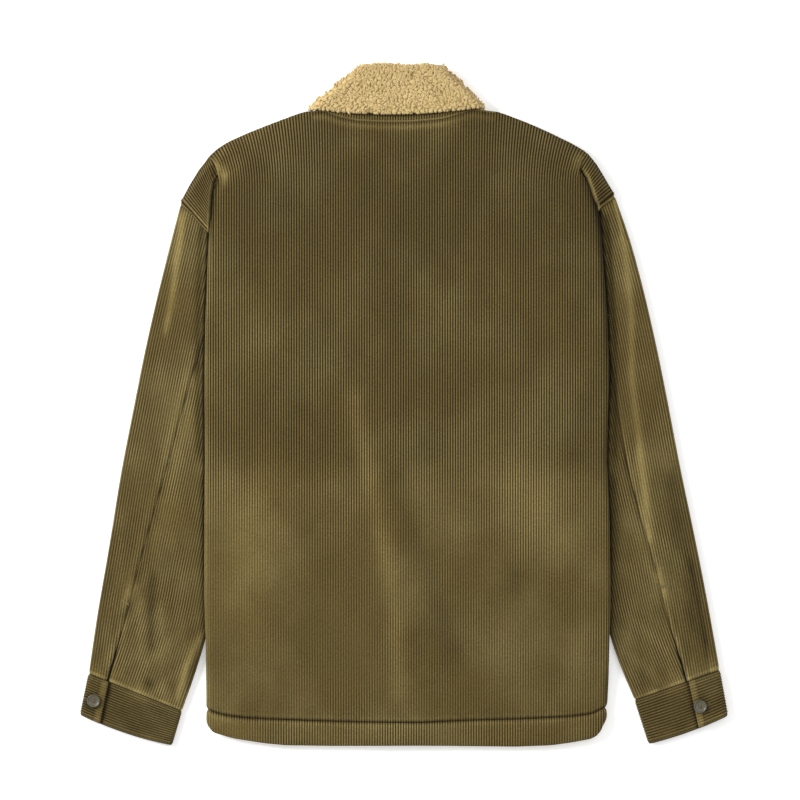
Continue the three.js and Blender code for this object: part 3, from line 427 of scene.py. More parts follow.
shares = spread(40, [0, 0.0016, 0.0034, 0.006, 0.011, 0.02])[:, None]
y = mix(bottom_y, top_y, shares)
across = np.broadcast_to(places, y.shape)


def worn_ribs(place, y):
    """Rib height with a slow change along each rib."""
    uneven = 0.12 * np.sin(y / 23 + place * 1.9)
    return RIB_HEIGHT * rib(place) * (1 + uneven + 0.06 * np.sin(y / 7.1 + place * 5.3))


def seam_dip(distance, depth=1.5, width=2.2):
    """How deep the cloth dips beside a seam."""
    return depth * bell(distance, width)


def puckered(across, distance, height, width):
    """The gathers beside a seam."""
    return height * np.sin(across / 1.35 + 1.6 * np.sin(across / 19)) * bell(distance, width)


low_end = y - bottom_y
high_end = np.where(far <= top_turn, top_y - y, 50)
pucker = puckered(across, low_end, 0.4, 5)
sunk = (RIB_HEIGHT - worn_ribs(across, y)) + seam_dip(low_end, 1.8) + seam_dip(high_end, 0.6) - pucker
outer_x, outer_z = back_section(across, y, sunk)
inner_x, inner_z = back_section(across, y, np.full(y.shape, BODY_WALL))
pattern = np.stack([across / WALE, y / WALE], axis=2)
# lighter and darker bands on the back: brushed pile, and painted highlights along the crease ridges
BACK_NAP_LIGHT_AND_SHADE = [
    ([(-163, -88), (-187, -183)], 30, 0.45), ([(149, -92), (167, -160)], 32, 0.28),
    ([(-57, 6), (-37, -100), (-10, -242), (-6, -336)], 12, 0.42),
    ([(-10, -88), (19, -183), (61, -289)], 16, -0.3),
    ([(131, -205), (131, -220)], 14, -0.35), ([(-181, -230), (-175, -320)], 24, 0.25),
    ([(208, -277), (200, -340)], 16, 0.25), ([(-16, 160), (-4, 41)], 26, -0.15),
    ([(-75, 300), (-40, 309)], 9, 0.3), ([(-64, 329), (0, 326), (64, 331)], 4.5, 0.35),
    ([(-224, 284), (-212, 272)], 6, 0.8), ([(-206, 268), (-196, 276)], 9, 0.35),
    ([(206, 292), (214, 284)], 6, 0.6),
]
edge_x = np.abs(body_edge(across, y))
upper = smooth(-95, -60, y)
nap_and_shade = (crease_height(outer_x, y, BACK_NAP_LIGHT_AND_SHADE) + mix(0.14, -0.18, upper) + 0.1 * wave(outer_x, y, 31, 6)
       + 0.07 * wave(outer_x, y, 9, 3))
# the fold down the left side catches the light and the right one turns away from it
nap_and_shade = nap_and_shade + np.where(across < 0, 0.35, -0.25) * bell(edge_x - np.abs(outer_x), 5)
nap_and_shade = nap_and_shade - 0.2 * smooth(120, 230, y) - 0.12 * smooth(-100, -330, y)
# painted shade in the slit beside the dropped shoulder and on the right side's fold, and along the neck seam
# pressed light lines with a thin painted shadow between them
slit = smooth(195, 215, y) * (1 - smooth(262, 276, y)) * bell(edge_x - np.abs(outer_x), 4)
shaded = smooth(0, 80, y) * (1 - smooth(262, 276, y)) * bell(edge_x - np.abs(outer_x), 6.5)
nap_and_shade = nap_and_shade - np.where(across < 0, 0.9, 0.5) * slit - np.where(across < 0, 0.0, 0.5) * shaded
at_neck = np.where(far < 105, high_end, 50)
nap_and_shade = (nap_and_shade + 0.7 * bell(at_neck - 0.8, 1.0) - 0.5 * bell(at_neck - 2.8, 0.9)
       + 0.4 * bell(at_neck - 8.5, 3) * (0.7 + 0.3 * np.sin(across / 21)))
wear_and_highlight = 0.9 * bell(at_neck - 0.6, 1.2) + 0.35 * bell(at_neck - 8, 2.5)
# the lower part is rubbed smoother than the shoulders, most of all towards its left corner
rubbed = smooth(-20, -230, y) * (0.34 + 0.2 * wave(outer_x, y, 34, 4) + 0.12 * wave(outer_x, y, 8, 9))
left_corner = smooth(-60, -190, outer_x)
wear_and_highlight = (wear_and_highlight + np.clip(rubbed + 0.28 * left_corner * smooth(-60, -240, y), 0, 0.8)
        * smooth(1, 5, low_end))
# painted shade in the groove of the hem seam, and a lighter line just above it
nap_and_shade = nap_and_shade - 1.1 * bell(low_end, 1.3) + 0.25 * bell(low_end - 4, 2)
nap_and_shade = nap_and_shade - 0.72 * np.clip(rubbed, 0, 1) - 0.12 * left_corner * smooth(-60, -240, y)
SHOULDER_WEAR = [([(-224, 284), (-212, 270)], 6, 0.8), ([(207, 290), (214, 283)], 5, 0.6)]
wear_and_highlight = wear_and_highlight + crease_height(outer_x, y, SHOULDER_WEAR)
back = sew_cloth("back_panel", np.stack([outer_x, y, outer_z], 2), np.stack([inner_x, y, inner_z], 2),
                 pattern, ["back"], nap_and_shade=nap_and_shade, wear_and_highlight=wear_and_highlight)
shoulder_ends = {}
for k in (-1, 1):
    flat_columns = np.flatnonzero((side == k) & (far <= top_turn))
    column = flat_columns[0] if k < 0 else flat_columns[-1]
    shoulder_ends[k] = (float(outer_x[-1, column]), float(y[-1, column]))

# The dropped shoulder ends
# The back's own cloth, folded into a ridge beside the crevice and sloping to the armhole seam.
# Each pair is a rib: where it starts on the ridge, and where it ends on the shoulder's outline.
FLAP = {
    -1: [((-229.3, 202.5), (-263.2, 239.4)), ((-229, 226), (-252.3, 259.7)), ((-227.8, 248), (-241.5, 277.3)),
         ((-225.2, 263), (-233.8, 287))],
    1: [((230.4, 232), (249.2, 249)), ((226, 242), (244.2, 256.8)), ((221.5, 255), (236.2, 270.6)),
        ((217.2, 267.5), (228.2, 283.8))],
}
FLAP_RIBS = {-1: 19, 1: 16}
FLAP_FOLD = 3.2
FLAP_TUCK = 2.6
for side, word in ((-1, "left"), (1, "right")):
    # the last pair meets the outermost flat column of the back
    last_turn = np.array([side * top_turn[0 if side < 0 else -1]])
    start = back_section(last_turn, np.array([CREVICE_TOP[side]]), 0)[0]
    pairs = FLAP[side] + [((float(start[0]) + side * 0.4, CREVICE_TOP[side]),
                           (shoulder_ends[side][0] + side * 0.3, shoulder_ends[side][1] + 0.2))]
    walked = np.cumsum([0] + [sum(math.dist(a[k], b[k]) for k in (0, 1)) for a, b in zip(pairs, pairs[1:])])
    columns = FLAP_RIBS[side] * 5 + 1
    place = np.linspace(0, 1, columns)
    reached = walked / walked[-1]
    ridge_x, ridge_y, out_x, out_y = (np.interp(place, reached, [pair[k][j] for pair in pairs])[None, :]
                                      for k in (0, 1) for j in (0, 1))
    share = spread(34, [0, 0.008, 0.02, 0.035, 0.055, 0.08, 0.11])[:, None]
    length = np.hypot(out_x - ridge_x, out_y - ridge_y)
    x, y = mix(ridge_x, out_x, share), mix(ridge_y, out_y, share)
    seam_y = along([(px, py) for py, px in ARMHOLE[side]], x, 2)
    held = np.clip(1 - place[None, :] / 0.09, 0, 1)
    y = mix(y, seam_y - 1.0, held * held * (3 - 2 * held))
    from_seam = np.maximum(y - seam_y, 0)
    # the ridge is a rounded fold, and its inner edge is tucked down beside the back's own fold
    free = 1 - smooth(CREVICE_TOP[side] - 14, CREVICE_TOP[side] + 1, ridge_y)
    from_ridge = share * length
    tucked = np.clip(1 - share / 0.03, 0, 1)
    x = x - side * FLAP_TUCK * free * tucked
    from_round = np.clip(FLAP_FOLD - from_ridge, 0, None)
    fold_drop = FLAP_FOLD - np.sqrt(np.clip(FLAP_FOLD ** 2 - from_round ** 2, 0, None))
    roll = free * (fold_drop + 6.0 * tucked)
    puff = 1.8 * free * bell(from_ridge - 5, 5)
    low = mix(SHOULDER_SEAM, back_inner(x, y), smooth(0, 24, from_seam)) - (1 - free) * crevice_dip(x, y)
    ribs_at = place[None, :] * FLAP_RIBS[side] * WALE
    # along the ridge the ribs are flattened and the valleys filled: worn pile with a painted highlight
    wear_and_highlight = free * (1 - smooth(1.8, 4.6, from_ridge)) * (0.85 + 0.15 * np.sin(ribs_at / 2.1))
    sunk = (RIB_HEIGHT - worn_ribs(ribs_at, y)) * (1 - 0.8 * wear_and_highlight) + seam_dip(from_seam, 1.2)
    outer = np.stack([x, y, low + BODY_WALL - 0.3 - sunk - roll + puff], 2)
    inner = np.stack([x, y, np.minimum(low + 0.4, outer[:, :, 2] - 2)], 2)
    # painted light and shade on the dropped shoulder: darker all over, a painted highlight along the rounded
    # ridge, deep painted shade on the edge tucked into the slit, lighter beside the armhole seam
    nap_and_shade = (0.1 * wave(x, y, 12, 5) - 0.42 + 0.75 * free * bell(from_ridge - 2.2, 2)
           + 0.5 * bell(from_seam - 3, 4) - 1.5 * free * (1 - smooth(0.0, 0.035, share)))
    flap = sew_cloth("back_shoulder_" + word, outer, inner,
                     np.stack([ribs_at / WALE * np.ones_like(y), y / WALE], 2), ["back"], nap_and_shade=nap_and_shade, wear_and_highlight=wear_and_highlight)

# The back's hem band
# The same corduroy turned up double below the groove and stitched through it. It wraps round the
# sides with the back.
HEM_LEVEL = -375.0
shares = np.array([0, 0.05, 0.11, 0.2, 0.4, 0.6, 0.8, 0.9, 0.96, 1])[:, None]
groove_y = along(GROOVE, lowest, 4) - 0.05
edge_y = along(HEM_EDGE, lowest, 4)
y = mix(groove_y, edge_y, shares)
across = np.broadcast_to(places, y.shape)
pucker = puckered(across, groove_y - y, 0.45, 6)
swell = 0.9 * np.sin(np.pi * shares) + 0.5 * wave(across, y, 17, 4)
sunk = (RIB_HEIGHT - worn_ribs(across, y) + seam_dip(groove_y - y, 1.8) + seam_dip(y - edge_y, 1.4, 3)
        - pucker - swell)
level = np.full(y.shape, HEM_LEVEL)
outer_x, outer_z = back_section(across, level, sunk)
inner_x, inner_z = back_section(across, level, np.full(y.shape, BODY_WALL))
wear_and_highlight = np.clip(0.16 + 0.2 * wave(across, y, 21, 5) + 0.35 * smooth(-110, -200, across), 0, 0.7)
# painted shade in the groove above the band, and a lighter line below it
nap_and_shade = (0.12 + 0.15 * wave(across, y, 27, 2) - 0.4 * wear_and_highlight + 0.3 * bell(groove_y - y - 3.5, 2)
       - 0.65 * bell(groove_y - y, 1.3))
hem_back = sew_cloth("hem_band_back", np.stack([outer_x, y, outer_z], 2), np.stack([inner_x, y, inner_z], 2),
                     np.stack([across / WALE, y / WALE], axis=2), ["hem_back"], nap_and_shade=nap_and_shade,
                     wear_and_highlight=wear_and_highlight * smooth(1, 5, groove_y - y))

# The fronts and their hem bands
# Two plain panels on the hidden side, face down. The left one laps under the right one here,
# because the garment lies on its front, and both climb over the sleeves and the collar's leaves.
LAP = 20.0
PLACKET_WALL = 3.0
NECK_POINT = {-1: 98.0, 1: 83.0}
NECKLINE = [(0, 262), (0.25, 263.5), (0.45, 271), (0.62, 285), (0.78, 305), (0.9, 326), (1, 349)]


def neckline_y(side, x):
    """The height of a front's neckline."""
    return along(NECKLINE, (np.abs(x) - LAP) / (NECK_POINT[side] - LAP), 0.06)


def front_layer(side, x, y):
    """A front's lowest height and its thickness."""
    held = 1 - smooth(6, 66, y)
    climb = np.where(x * side > 100, held * side_rise(side, x, np.minimum(y, 6)), 0)
    strip = 1 - smooth(LAP + 1, LAP + 14, np.abs(x))
    lapped = (PLACKET_WALL + SEAM_GAP) * (1 if side < 0 else 2)
    return climb + leaf_rise(x, y) + strip * lapped, mix(BODY_WALL, PLACKET_WALL, strip)


for side, word in ((-1, "left"), (1, "right")):
    outermost = abs(SHOULDER[side][0][0]) - 0.6
    far = column_places(-LAP, outermost, 5)[::-1]
    x = side * far
    seam_x = abs(ARMHOLE[side][0][1]) - 0.6
    low_y = np.where(far <= seam_x, along(GROOVE, x, 4) + SEAM_GAP,
                     along([(abs(px) - 0.6, py) for py, px in ARMHOLE[side]], far))
    high_y = np.where(far < NECK_POINT[side], neckline_y(side, x), shoulder_y(x) - 0.6)
    shares = spread(26, [0, 0.004, 0.01, 0.02])[:, None]
    y = mix(low_y, np.maximum(high_y, low_y + 0.4), shares)
    across = np.broadcast_to(x, y.shape)
    # its upper face draws in a little under the shoulder's edge
    low, thick = front_layer(side, across, y)
    pattern = np.stack([across / WALE, y / WALE], 2)
    sunk = RIB_HEIGHT - worn_ribs(across, y)
    drawn_in = 2.5 * smooth(200, 235, y) * smooth(0.97, 1, shares)
    front = sew_cloth("front_panel_" + word, np.stack([across, y, low + sunk], 2),
                      np.stack([across - side * drawn_in * (far > 200), y - drawn_in, low + thick], 2),
                      pattern, ["front_" + word])
    far = far[far <= seam_x]
    x = side * far
    shares = np.array([0, 0.1, 0.3, 0.6, 0.9, 1])[:, None]
    y = mix(along(GROOVE, x, 4) - SEAM_GAP, along(HEM_EDGE, x, 4), shares)
    across = np.broadcast_to(x, y.shape)
    low, thick = front_layer(side, across, np.full(y.shape, HEM_LEVEL))
    sunk = RIB_HEIGHT - worn_ribs(across, y)
    band = sew_cloth("hem_band_front_" + word, np.stack([across, y, low + sunk], 2),
                     np.stack([across, y, low + thick], 2), np.stack([across / WALE, y / WALE], 2),
                     ["hem_front_" + word])

# The sleeves
# Two pieces each: the upper one wraps the outer fold and the under one the inner fold, joined
# at the topstitched elbow seam, which opens into the cuff's vent, and at a seam underneath.
# Inside the sleeves and cuffs is a lining of smooth twill, seen only in the vents, coloured near black as
# painted shade for the deep inside.
shaded_sleeve_lining, tree, shader, coordinates = new_material("painted_shade_sleeve_lining", {
    "Base Color": (0.012, 0.009, 0.004, 1), "Roughness": 0.7})
twill = add_node(tree, "ShaderNodeTexWave", {"Vector": (coordinates, "Object"), 1: 900.0, 2: 0.3})
twill_bump = add_node(tree, "ShaderNodeBump", {0: 0.2, 1: 0.0001, "Height": (twill, "Fac")})
set_inputs(tree, shader, {"Normal": (twill_bump, 0)})
SLEEVE_WALL = 3.5
SLEEVE_LENGTH = 560
SLEEVE_WIDTH = 118
SLEEVE = {
    -1: [(-263.7, 238.4, -172, 6, 0.426), (-278, 182, -181, -36, 0.421), (-293.2, 120.4, -191, -82, 0.425),
         (-306.5, 61, -201, -128, 0.405), (-319.5, -5, -211, -175, 0.382), (-334, -78, -221, -222, 0.345),
         (-347.5, -163, -231, -270, 0.29), (-362, -245, -244.5, -315, 0.263),
         (-372.4, -316.8, -261.1, -361.5, 0.208)],
    1: [(249.8, 247.8, 176, 6, 0.36), (268, 197, 186, -38, 0.37), (284, 137, 197, -83, 0.434),
        (299, 72, 208, -128, 0.48), (312.5, 5, 219, -173, 0.492), (327, -72, 230, -218, 0.461),
        (342.5, -145, 240, -262, 0.426), (358.5, -224, 253.5, -304, 0.428),
        (374.1, -312.7, 272.5, -348.5, 0.39)],
}
SLEEVE_CREASES = {
    -1: [([(-237, 205), (-241, 65), (-239, -60)], 5, -3.2),
         ([(-236, -268), (-248, -290), (-254, -308), (-262, -342)], 7, 1.6),
         ([(-300, -300), (-288, -335)], 7, -1.3), ([(-276, -330), (-300, -338)], 4, -0.9),
         ([(-330, -150), (-338, -230), (-345, -290)], 9, 1.0),
         ([(-262, -60), (-283, -130), (-296, -200)], 10, 1.0),
         ([(-275, 150), (-292, 60), (-300, 0)], 9, -0.9), ([(-258, -150), (-272, -250)], 8, -1.0)],
    1: [([(248.2, 244), (255, 216.9), (259.8, 192.3)], 2.4, 1.6),
        ([(259.8, 192.3), (264, 165), (269, 117), (270, 8), (267.6, -59)], 6, 1.4),
        ([(239, 218), (247, 65), (248, -60)], 5, -3.2),
        ([(337, -183), (345, -209), (352, -247), (358, -281), (362.8, -318)], 3.2, -1.8),
        ([(290, -230), (300, -320)], 9, 1.2), ([(275, -250), (284, -300), (290, -335)], 6, -1.1),
        ([(300, 100), (318, 0), (326, -70)], 9, -0.9), ([(290, -60), (300, -140)], 8, 1.0)],
}


def tube_point(outer, inner, turn, height, wall, depth):
    """A point on a flattened tube: turn runs 0 to 1 over the top and 1 to 2 back underneath."""
    width = np.hypot(inner[0] - outer[0], inner[1] - outer[1])
    radius = height / 2
    fold = radius / width
    top = np.where(turn <= 1, 1.0, -1.0)
    share = np.where(turn <= 1, turn, 2 - turn)
    inside = radius - depth
    near = np.clip(share / fold, 0, 1)
    last = np.clip((1 - share) / fold, 0, 1)
    folded = np.minimum(near, last)
    angle = np.pi / 2 * (1 - folded)
    out = np.where(near < 1, fold - inside / width * np.sin(angle), 1 - fold + inside / width * np.sin(angle))
    along_row = np.where(folded < 1, out, share)
    z = np.where(folded < 1, radius + top * inside * np.cos(angle), radius + top * (radius - depth))
    return mix(outer[0], inner[0], along_row), mix(outer[1], inner[1], along_row), z


def sleeve_rows(side, share):
    """The sleeve's two folds and its seam's place, a share of the way down its length."""
    table = np.array(SLEEVE[side], float)
    step = np.linspace(0, 1, len(table))
    reach = np.minimum(0.04, np.minimum(share, 1 - share))
    return [sum(np.interp(share + d * reach, step, table[:, k]) for d in (-1, 0, 1)) / 3 for k in range(5)]


def sleeve_point(side, share, turn, depth):
    """A point on a sleeve, with its creases and the bend at the armhole."""
    outer_x, outer_y, inner_x, inner_y, _ = sleeve_rows(side, share)
    x, y, z = tube_point((outer_x, outer_y), (inner_x, inner_y), turn, SLEEVE_HEIGHT, SLEEVE_WALL, depth)
    first = SLEEVE[side][0]
    across = (y - inner_y) / (outer_y - inner_y)
    straight_y = mix(first[3], first[1], across)
    bend = np.clip(1 - share / 0.3, 0, 1) ** 2
    x = x + bend * (along(ARMHOLE[side], straight_y) - mix(first[2], first[0], across))
    on_top = (turn < 1) * smooth(0.02, 0.12, turn) * (1 - smooth(0.9, 1.0, turn))
    clear = smooth(2, 16, np.abs(x) - np.abs(body_edge(np.full(x.shape, side), y)))
    rise = crease_height(x, y, SLEEVE_CREASES[side]) + 0.4 * wave(x, y, 24, 2 + side)
    z = z + on_top * np.where(rise > 0, clear * rise, rise)
    return np.stack([x, y, z], 2)


# lighter and darker bands on the sleeves: brushed pile, painted highlights along the crease ridges, and
# painted shade in the troughs beside the body and in the cuff's pleat
SLEEVE_NAP_LIGHT_AND_SHADE = {
    -1: [([(-252, 30), (-270, -53), (-281, -159)], 15, 0.4), ([(-297, -205), (-300, -285)], 7, -0.6),
         ([(-321, -215), (-326, -228)], 7, 0.5), ([(-310, -240), (-306, -300)], 9, 0.3),
         ([(-238, 205), (-241, 65), (-239, -60)], 4.5, -0.35),
         ([(-260, 225), (-266, 190), (-270, 150), (-280, 90)], 4.5, 0.6),
         ([(-237, -88), (-234, -330)], 4, -0.5),
         ([(-262, 225), (-264, 190), (-268, 170)], 3.5, 0.45), ([(-340, -150), (-366, -300)], 8, -0.2),
         ([(-305, -328), (-277, -332)], 2.2, -0.7), ([(-302, -334), (-278, -338)], 3, 0.4),
         ([(-238, -272), (-248, -290), (-256, -309), (-266, -345)], 4.5, 0.5),
         ([(-233, -272), (-243, -300), (-251, -330)], 5, -0.5), ([(-290, -240), (-288, -300)], 7, 0.2)],
    1: [([(248.2, 244), (255, 216.9), (259.8, 192.3)], 2.2, 0.7),
         ([(259.8, 192.3), (264, 165), (269, 117), (270, 30), (279, -53), (291, -159)], 5, 0.5),
        ([(314, -88), (338, -195), (350, -289)], 11, -0.4), ([(240, 222), (247, 65), (248, -60)], 4.5, -0.35),
        ([(247, -88), (244, -330)], 4, -0.6), ([(276, -60), (290, -190)], 12, 0.35),
        ([(300, -200), (308, -225)], 7, 0.5), ([(337, -183), (345, -209), (352, -247), (358, -281)], 3, -0.5),
        ([(300, -260), (318, -330)], 9, 0.25)],
}
FRONT_SEAM = 1.62


def across_ribs(side, shares, fold):
    """How far the points of each row lie from the outer (0) or inner (1) fold, square to its line."""
    parts = np.linspace(0, 1, 160)[None, :]
    rows, turns = np.broadcast_arrays(shares, parts)
    row = sleeve_point(side, rows, turns, np.zeros(rows.shape))
    k = 2 * fold
    ahead, behind, here = (sleeve_rows(side, np.clip(shares + d, 0, 1)) for d in (0.03, -0.03, 0))
    run = np.hypot(ahead[k] - behind[k], ahead[k + 1] - behind[k + 1])
    away = np.abs((row[:, :, 0] - here[k]) * (ahead[k + 1] - behind[k + 1])
                  - (row[:, :, 1] - here[k + 1]) * (ahead[k] - behind[k])) / run
    return parts[0], np.maximum.accumulate(away[:, ::-1] if fold else away, axis=1)


for side, word in ((-1, "left"), (1, "right")):
    shares = spread(44, [0, 0.002, 0.005, 0.01])[:, None]
    seam = sleeve_rows(side, shares)[4]
    half_gap = (SEAM_GAP + 2.4 * smooth(0.86, 1, shares)) / 220
    for piece_word, start, end in (("upper", FRONT_SEAM - 2, seam - half_gap),
                                   ("under", seam + half_gap, FRONT_SEAM - 0.003)):
        # the ribs of the upper piece follow the outer fold, those of the under piece the inner one
        upper = piece_word == "upper"
        fold = 0 if upper else 1
        parts, away = across_ribs(side, shares, fold)
        ends = [np.array([np.sign(v - fold) * np.interp(abs(v - fold), parts, row)
                          for v, row in zip(np.broadcast_to(edge, shares.shape)[:, 0], away)])
                for edge in (start, end)]
        fine = column_places(ends[0].min(), ends[1].max(), 5)
        place = np.clip(fine[None, :], ends[0][:, None], ends[1][:, None])
        turn = np.array([fold + np.sign(p) * np.interp(np.abs(p), row, parts) for p, row in zip(place, away)])
        down = shares * SLEEVE_LENGTH
        from_cuff = (1 - shares) * SLEEVE_LENGTH
        from_seam = np.abs(turn - (end if upper else start)) * SLEEVE_WIDTH
        from_end = np.minimum(shares, 1 - shares) * 500
        ribs = 0.85 * worn_ribs(place, down + side * 40)
        sunk = (RIB_HEIGHT - ribs * (1 - bell(from_seam, 0.8)) + seam_dip(from_seam, 1.1)
                + seam_dip(from_end, 1.0))
        # the upper piece lies over the seam and the under piece is pressed down beside it
        sunk = sunk - (0.8 if upper else -0.2) * bell(from_seam - 3.5, 3)
        wrapped = np.where(turn < 0, turn + 2, turn)
        sunk = np.where((wrapped > 1.02) & (wrapped < 1.98), np.maximum(sunk, 0), sunk)
        rows = np.broadcast_to(shares, turn.shape)
        outer = sleeve_point(side, rows, wrapped, sunk)
        inner = sleeve_point(side, rows, wrapped, np.full(turn.shape, SLEEVE_WALL))
        name = "sleeve_" + word + "_" + piece_word
        pattern = np.stack([place / WALE, down / WALE * np.ones_like(turn)], 2)
        sleeve_x, sleeve_y = outer[:, :, 0], outer[:, :, 1]
        nap_and_shade = crease_height(sleeve_x, sleeve_y, SLEEVE_NAP_LIGHT_AND_SHADE[side]) + 0.12 * wave(place, down, 14, 2)
        # beside the elbow seam the upper piece's raised edge is painted lighter and the under piece pressed
        # under it painted darker as shade, both lighter towards the vent
        vent = smooth(0.84, 0.87, shares)
        beside = mix(0.3, 0.8, vent) if upper else mix(-0.45, 0.15, vent)
        nap_and_shade = nap_and_shade + beside * bell(from_seam - 2, 2.6) * (0.75 + 0.35 * np.sin(shares * 95 + side))
        # pressed lighter where it's gathered into the cuff
        nap_and_shade = nap_and_shade + 0.95 * bell(from_cuff - 2.2, 2.6) * (0.7 + 0.4 * np.sin(place / 5.1))
        nap_and_shade = nap_and_shade + 0.25 * wave(place * 2.5, down, 11, 7) * smooth(0.5, 0.95, shares)
        # painted deep shade in the slit beside the body's fold, wider at the top
        from_body = np.abs(sleeve_x) - np.abs(body_edge(np.full(turn.shape, side), sleeve_y))
        shade = smooth(-330, 60, sleeve_y) * 0.75 + 0.25
        nap_and_shade = nap_and_shade - 1.7 * shade * (1 - smooth(0.5 + 1.2 * shade, 2.0 + 2.4 * shade, from_body))
        # the lighter lines also fill the valleys: worn pile and painted highlights along the ridges
        nap_and_highlight_lines = [(line, width, 1.0) for line, width, lift in SLEEVE_NAP_LIGHT_AND_SHADE[side] if lift > 0.4]
        nap_and_highlight_strokes = crease_height(sleeve_x, sleeve_y, nap_and_highlight_lines)
        rubbed = np.clip(0.28 + 0.22 * wave(sleeve_x, sleeve_y, 17, 3)
                         + 0.14 * wave(place * 2, sleeve_y, 7, 8), 0, 0.75)
        wear_and_highlight = rubbed + 0.45 * np.clip(nap_and_highlight_strokes, 0, 1) + 0.5 * bell(from_cuff - 2, 3)
        nap_and_shade = nap_and_shade - 0.62 * rubbed
        piece = sew_cloth("cloth_" + name, outer, inner, pattern, [name], nap_and_shade=nap_and_shade, wear_and_highlight=wear_and_highlight,
                         materials=(corduroy, shaded_sleeve_lining))

# The cuffs
# A corduroy band with ribs round the wrist, sewn to the sleeve's end: one strip from its under end
# round the sleeve to the lap, which a button closes.
CUFF = {
    -1: dict(outer=(-382.5, -365.5), inner=(-273, -402), bow=4, lap=0.22, button=(-365.7, -349)),
    1: dict(outer=(383.8, -366.5), inner=(289.3, -400.5), bow=3, lap=0.37, button=(350, -355.7)),
}
LAP_HEIGHT = SLEEVE_HEIGHT + SEAM_GAP + SLEEVE_WALL
CUFF_WIDTH = 110
CUFF_DEPTH = 52
CUFF_RIBS = 17
# where the turns of the strip start and end, and how many columns each part has
CUFF_PARTS = ((0.09, 0.93, 46), (0.94, 1.06, 12), (1.08, 1.92, 30), (1.93, 2.07, 14))


def cuff_point(side, share, turn, depth):
    """A point on a cuff, where a turn past 2 lies on the lap."""
    cuff, last = CUFF[side], SLEEVE[side][-1]
    start = 0.1 / math.hypot(cuff["outer"][0] - last[0], cuff["outer"][1] - last[1])
    down = mix(start, 1, share)
    outer = [mix(last[k], cuff["outer"][k], down) for k in (0, 1)]
    inner = [mix(last[k + 2], cuff["inner"][k], down) for k in (0, 1)]
    height = np.where(turn > 1.5, LAP_HEIGHT, SLEEVE_HEIGHT)
    x, y, z = tube_point(outer, inner, np.where(turn > 2, turn - 2, turn), height, SLEEVE_WALL, depth)
    across = (x - outer[0]) / (inner[0] - outer[0])
    return np.stack([x, y - cuff["bow"] * share * 4 * across * (1 - across), z], 2)


for side, word in ((-1, "left"), (1, "right")):
    lap = CUFF[side]["lap"]
    turn = np.concatenate([np.linspace(*part) for part in (*CUFF_PARTS, (2.08, 2 + lap, 16))])[None, :]
    shares = np.linspace(0, 1, CUFF_RIBS * 5 + 1)[:, None]
    place = shares * CUFF_RIBS * WALE
    edge = np.minimum(shares, 1 - shares) * CUFF_DEPTH
    lap_edge = np.abs(2 + lap - turn) * CUFF_WIDTH
    under_lap = np.where(turn < 1, 3.0 * bell((turn - lap) * CUFF_WIDTH, 5), 0)
    ribs = RIB_HEIGHT * rib(place) * (1 + 0.1 * np.sin(turn * 40 + place))
    sunk = (RIB_HEIGHT - ribs + seam_dip(edge, 1.2) + seam_dip(lap_edge, 0.9, 1.5)
            + seam_dip(lap_edge - 8, 0.5, 1.0))
    top_swell = np.where((turn < 0.9) | (turn > 2.05), 0.25 * wave(turn * CUFF_WIDTH, place, 9, 3), 0)
    sunk = sunk + np.where(turn < 1, under_lap * 0.3, 0) - top_swell
    sunk = np.where((turn > 1.02) & (turn < 1.98), np.maximum(sunk, 0), sunk)
    rows, turns = np.broadcast_arrays(shares, turn)
    outer = cuff_point(side, rows, turns, sunk)
    inner = cuff_point(side, rows, turns, np.full(sunk.shape, SLEEVE_WALL))
    pattern = np.stack([place / WALE * np.ones_like(turn), turns * 36], 2)
    on_lap = turn > 2
    # painted shade on the cuff under the lap's edge, and a lighter strip along the lap's end
    strip = np.where(on_lap, 0.55 * (1 - smooth(6.5, 9, lap_edge)),
                     -0.9 * bell(np.abs(turn - lap) * CUFF_WIDTH, 3))
    # painted shade along the cuff's two edges, a little lighter just inside them
    nap_and_shade = -0.35 + strip + 0.25 * bell(edge - 4, 3) - 0.6 * bell(edge, 1.6) + 0 * sunk
    nap_and_shade = nap_and_shade + 0.22 * wave(turn * CUFF_WIDTH, place * 1.6, 13, 4)
    bx, by = CUFF[side]["button"]
    by_button = np.where(turn > 1.9, np.hypot(outer[:, :, 0] - bx, outer[:, :, 1] - by), 90)
    # painted shade round the button
    nap_and_shade = nap_and_shade - 0.12 - 0.6 * bell(by_button - 5, 6) - (0.12 if side < 0 else 0.0)
    wear_and_highlight = (np.clip(0.2 + 0.2 * wave(turn * CUFF_WIDTH, place, 15, 2), 0, 1)
            + np.where(on_lap, 0.35 * (1 - smooth(5, 8, lap_edge)), 0))
    cuff = sew_cloth("cuff_band_" + word, outer, inner, pattern, ["cuff_" + word], nap_and_shade=nap_and_shade, wear_and_highlight=wear_and_highlight,
                    materials=(corduroy, shaded_sleeve_lining))

# The collar's stand
# A corduroy ring sewn into the neck seam and reaching up to the roll. A narrow strip of it shows
# below the fall.
STAND_FOOT = dict(left=(-98, 349.6), right=(83, 349.6), end=(40, 262))
STAND_TOP = dict(left=(-46, 396), right=(37, 395.5), end=(40, 276))
STAND_WALL = 4.0
STAND_DEPTH = 52
STAND_HIGH = 17.5


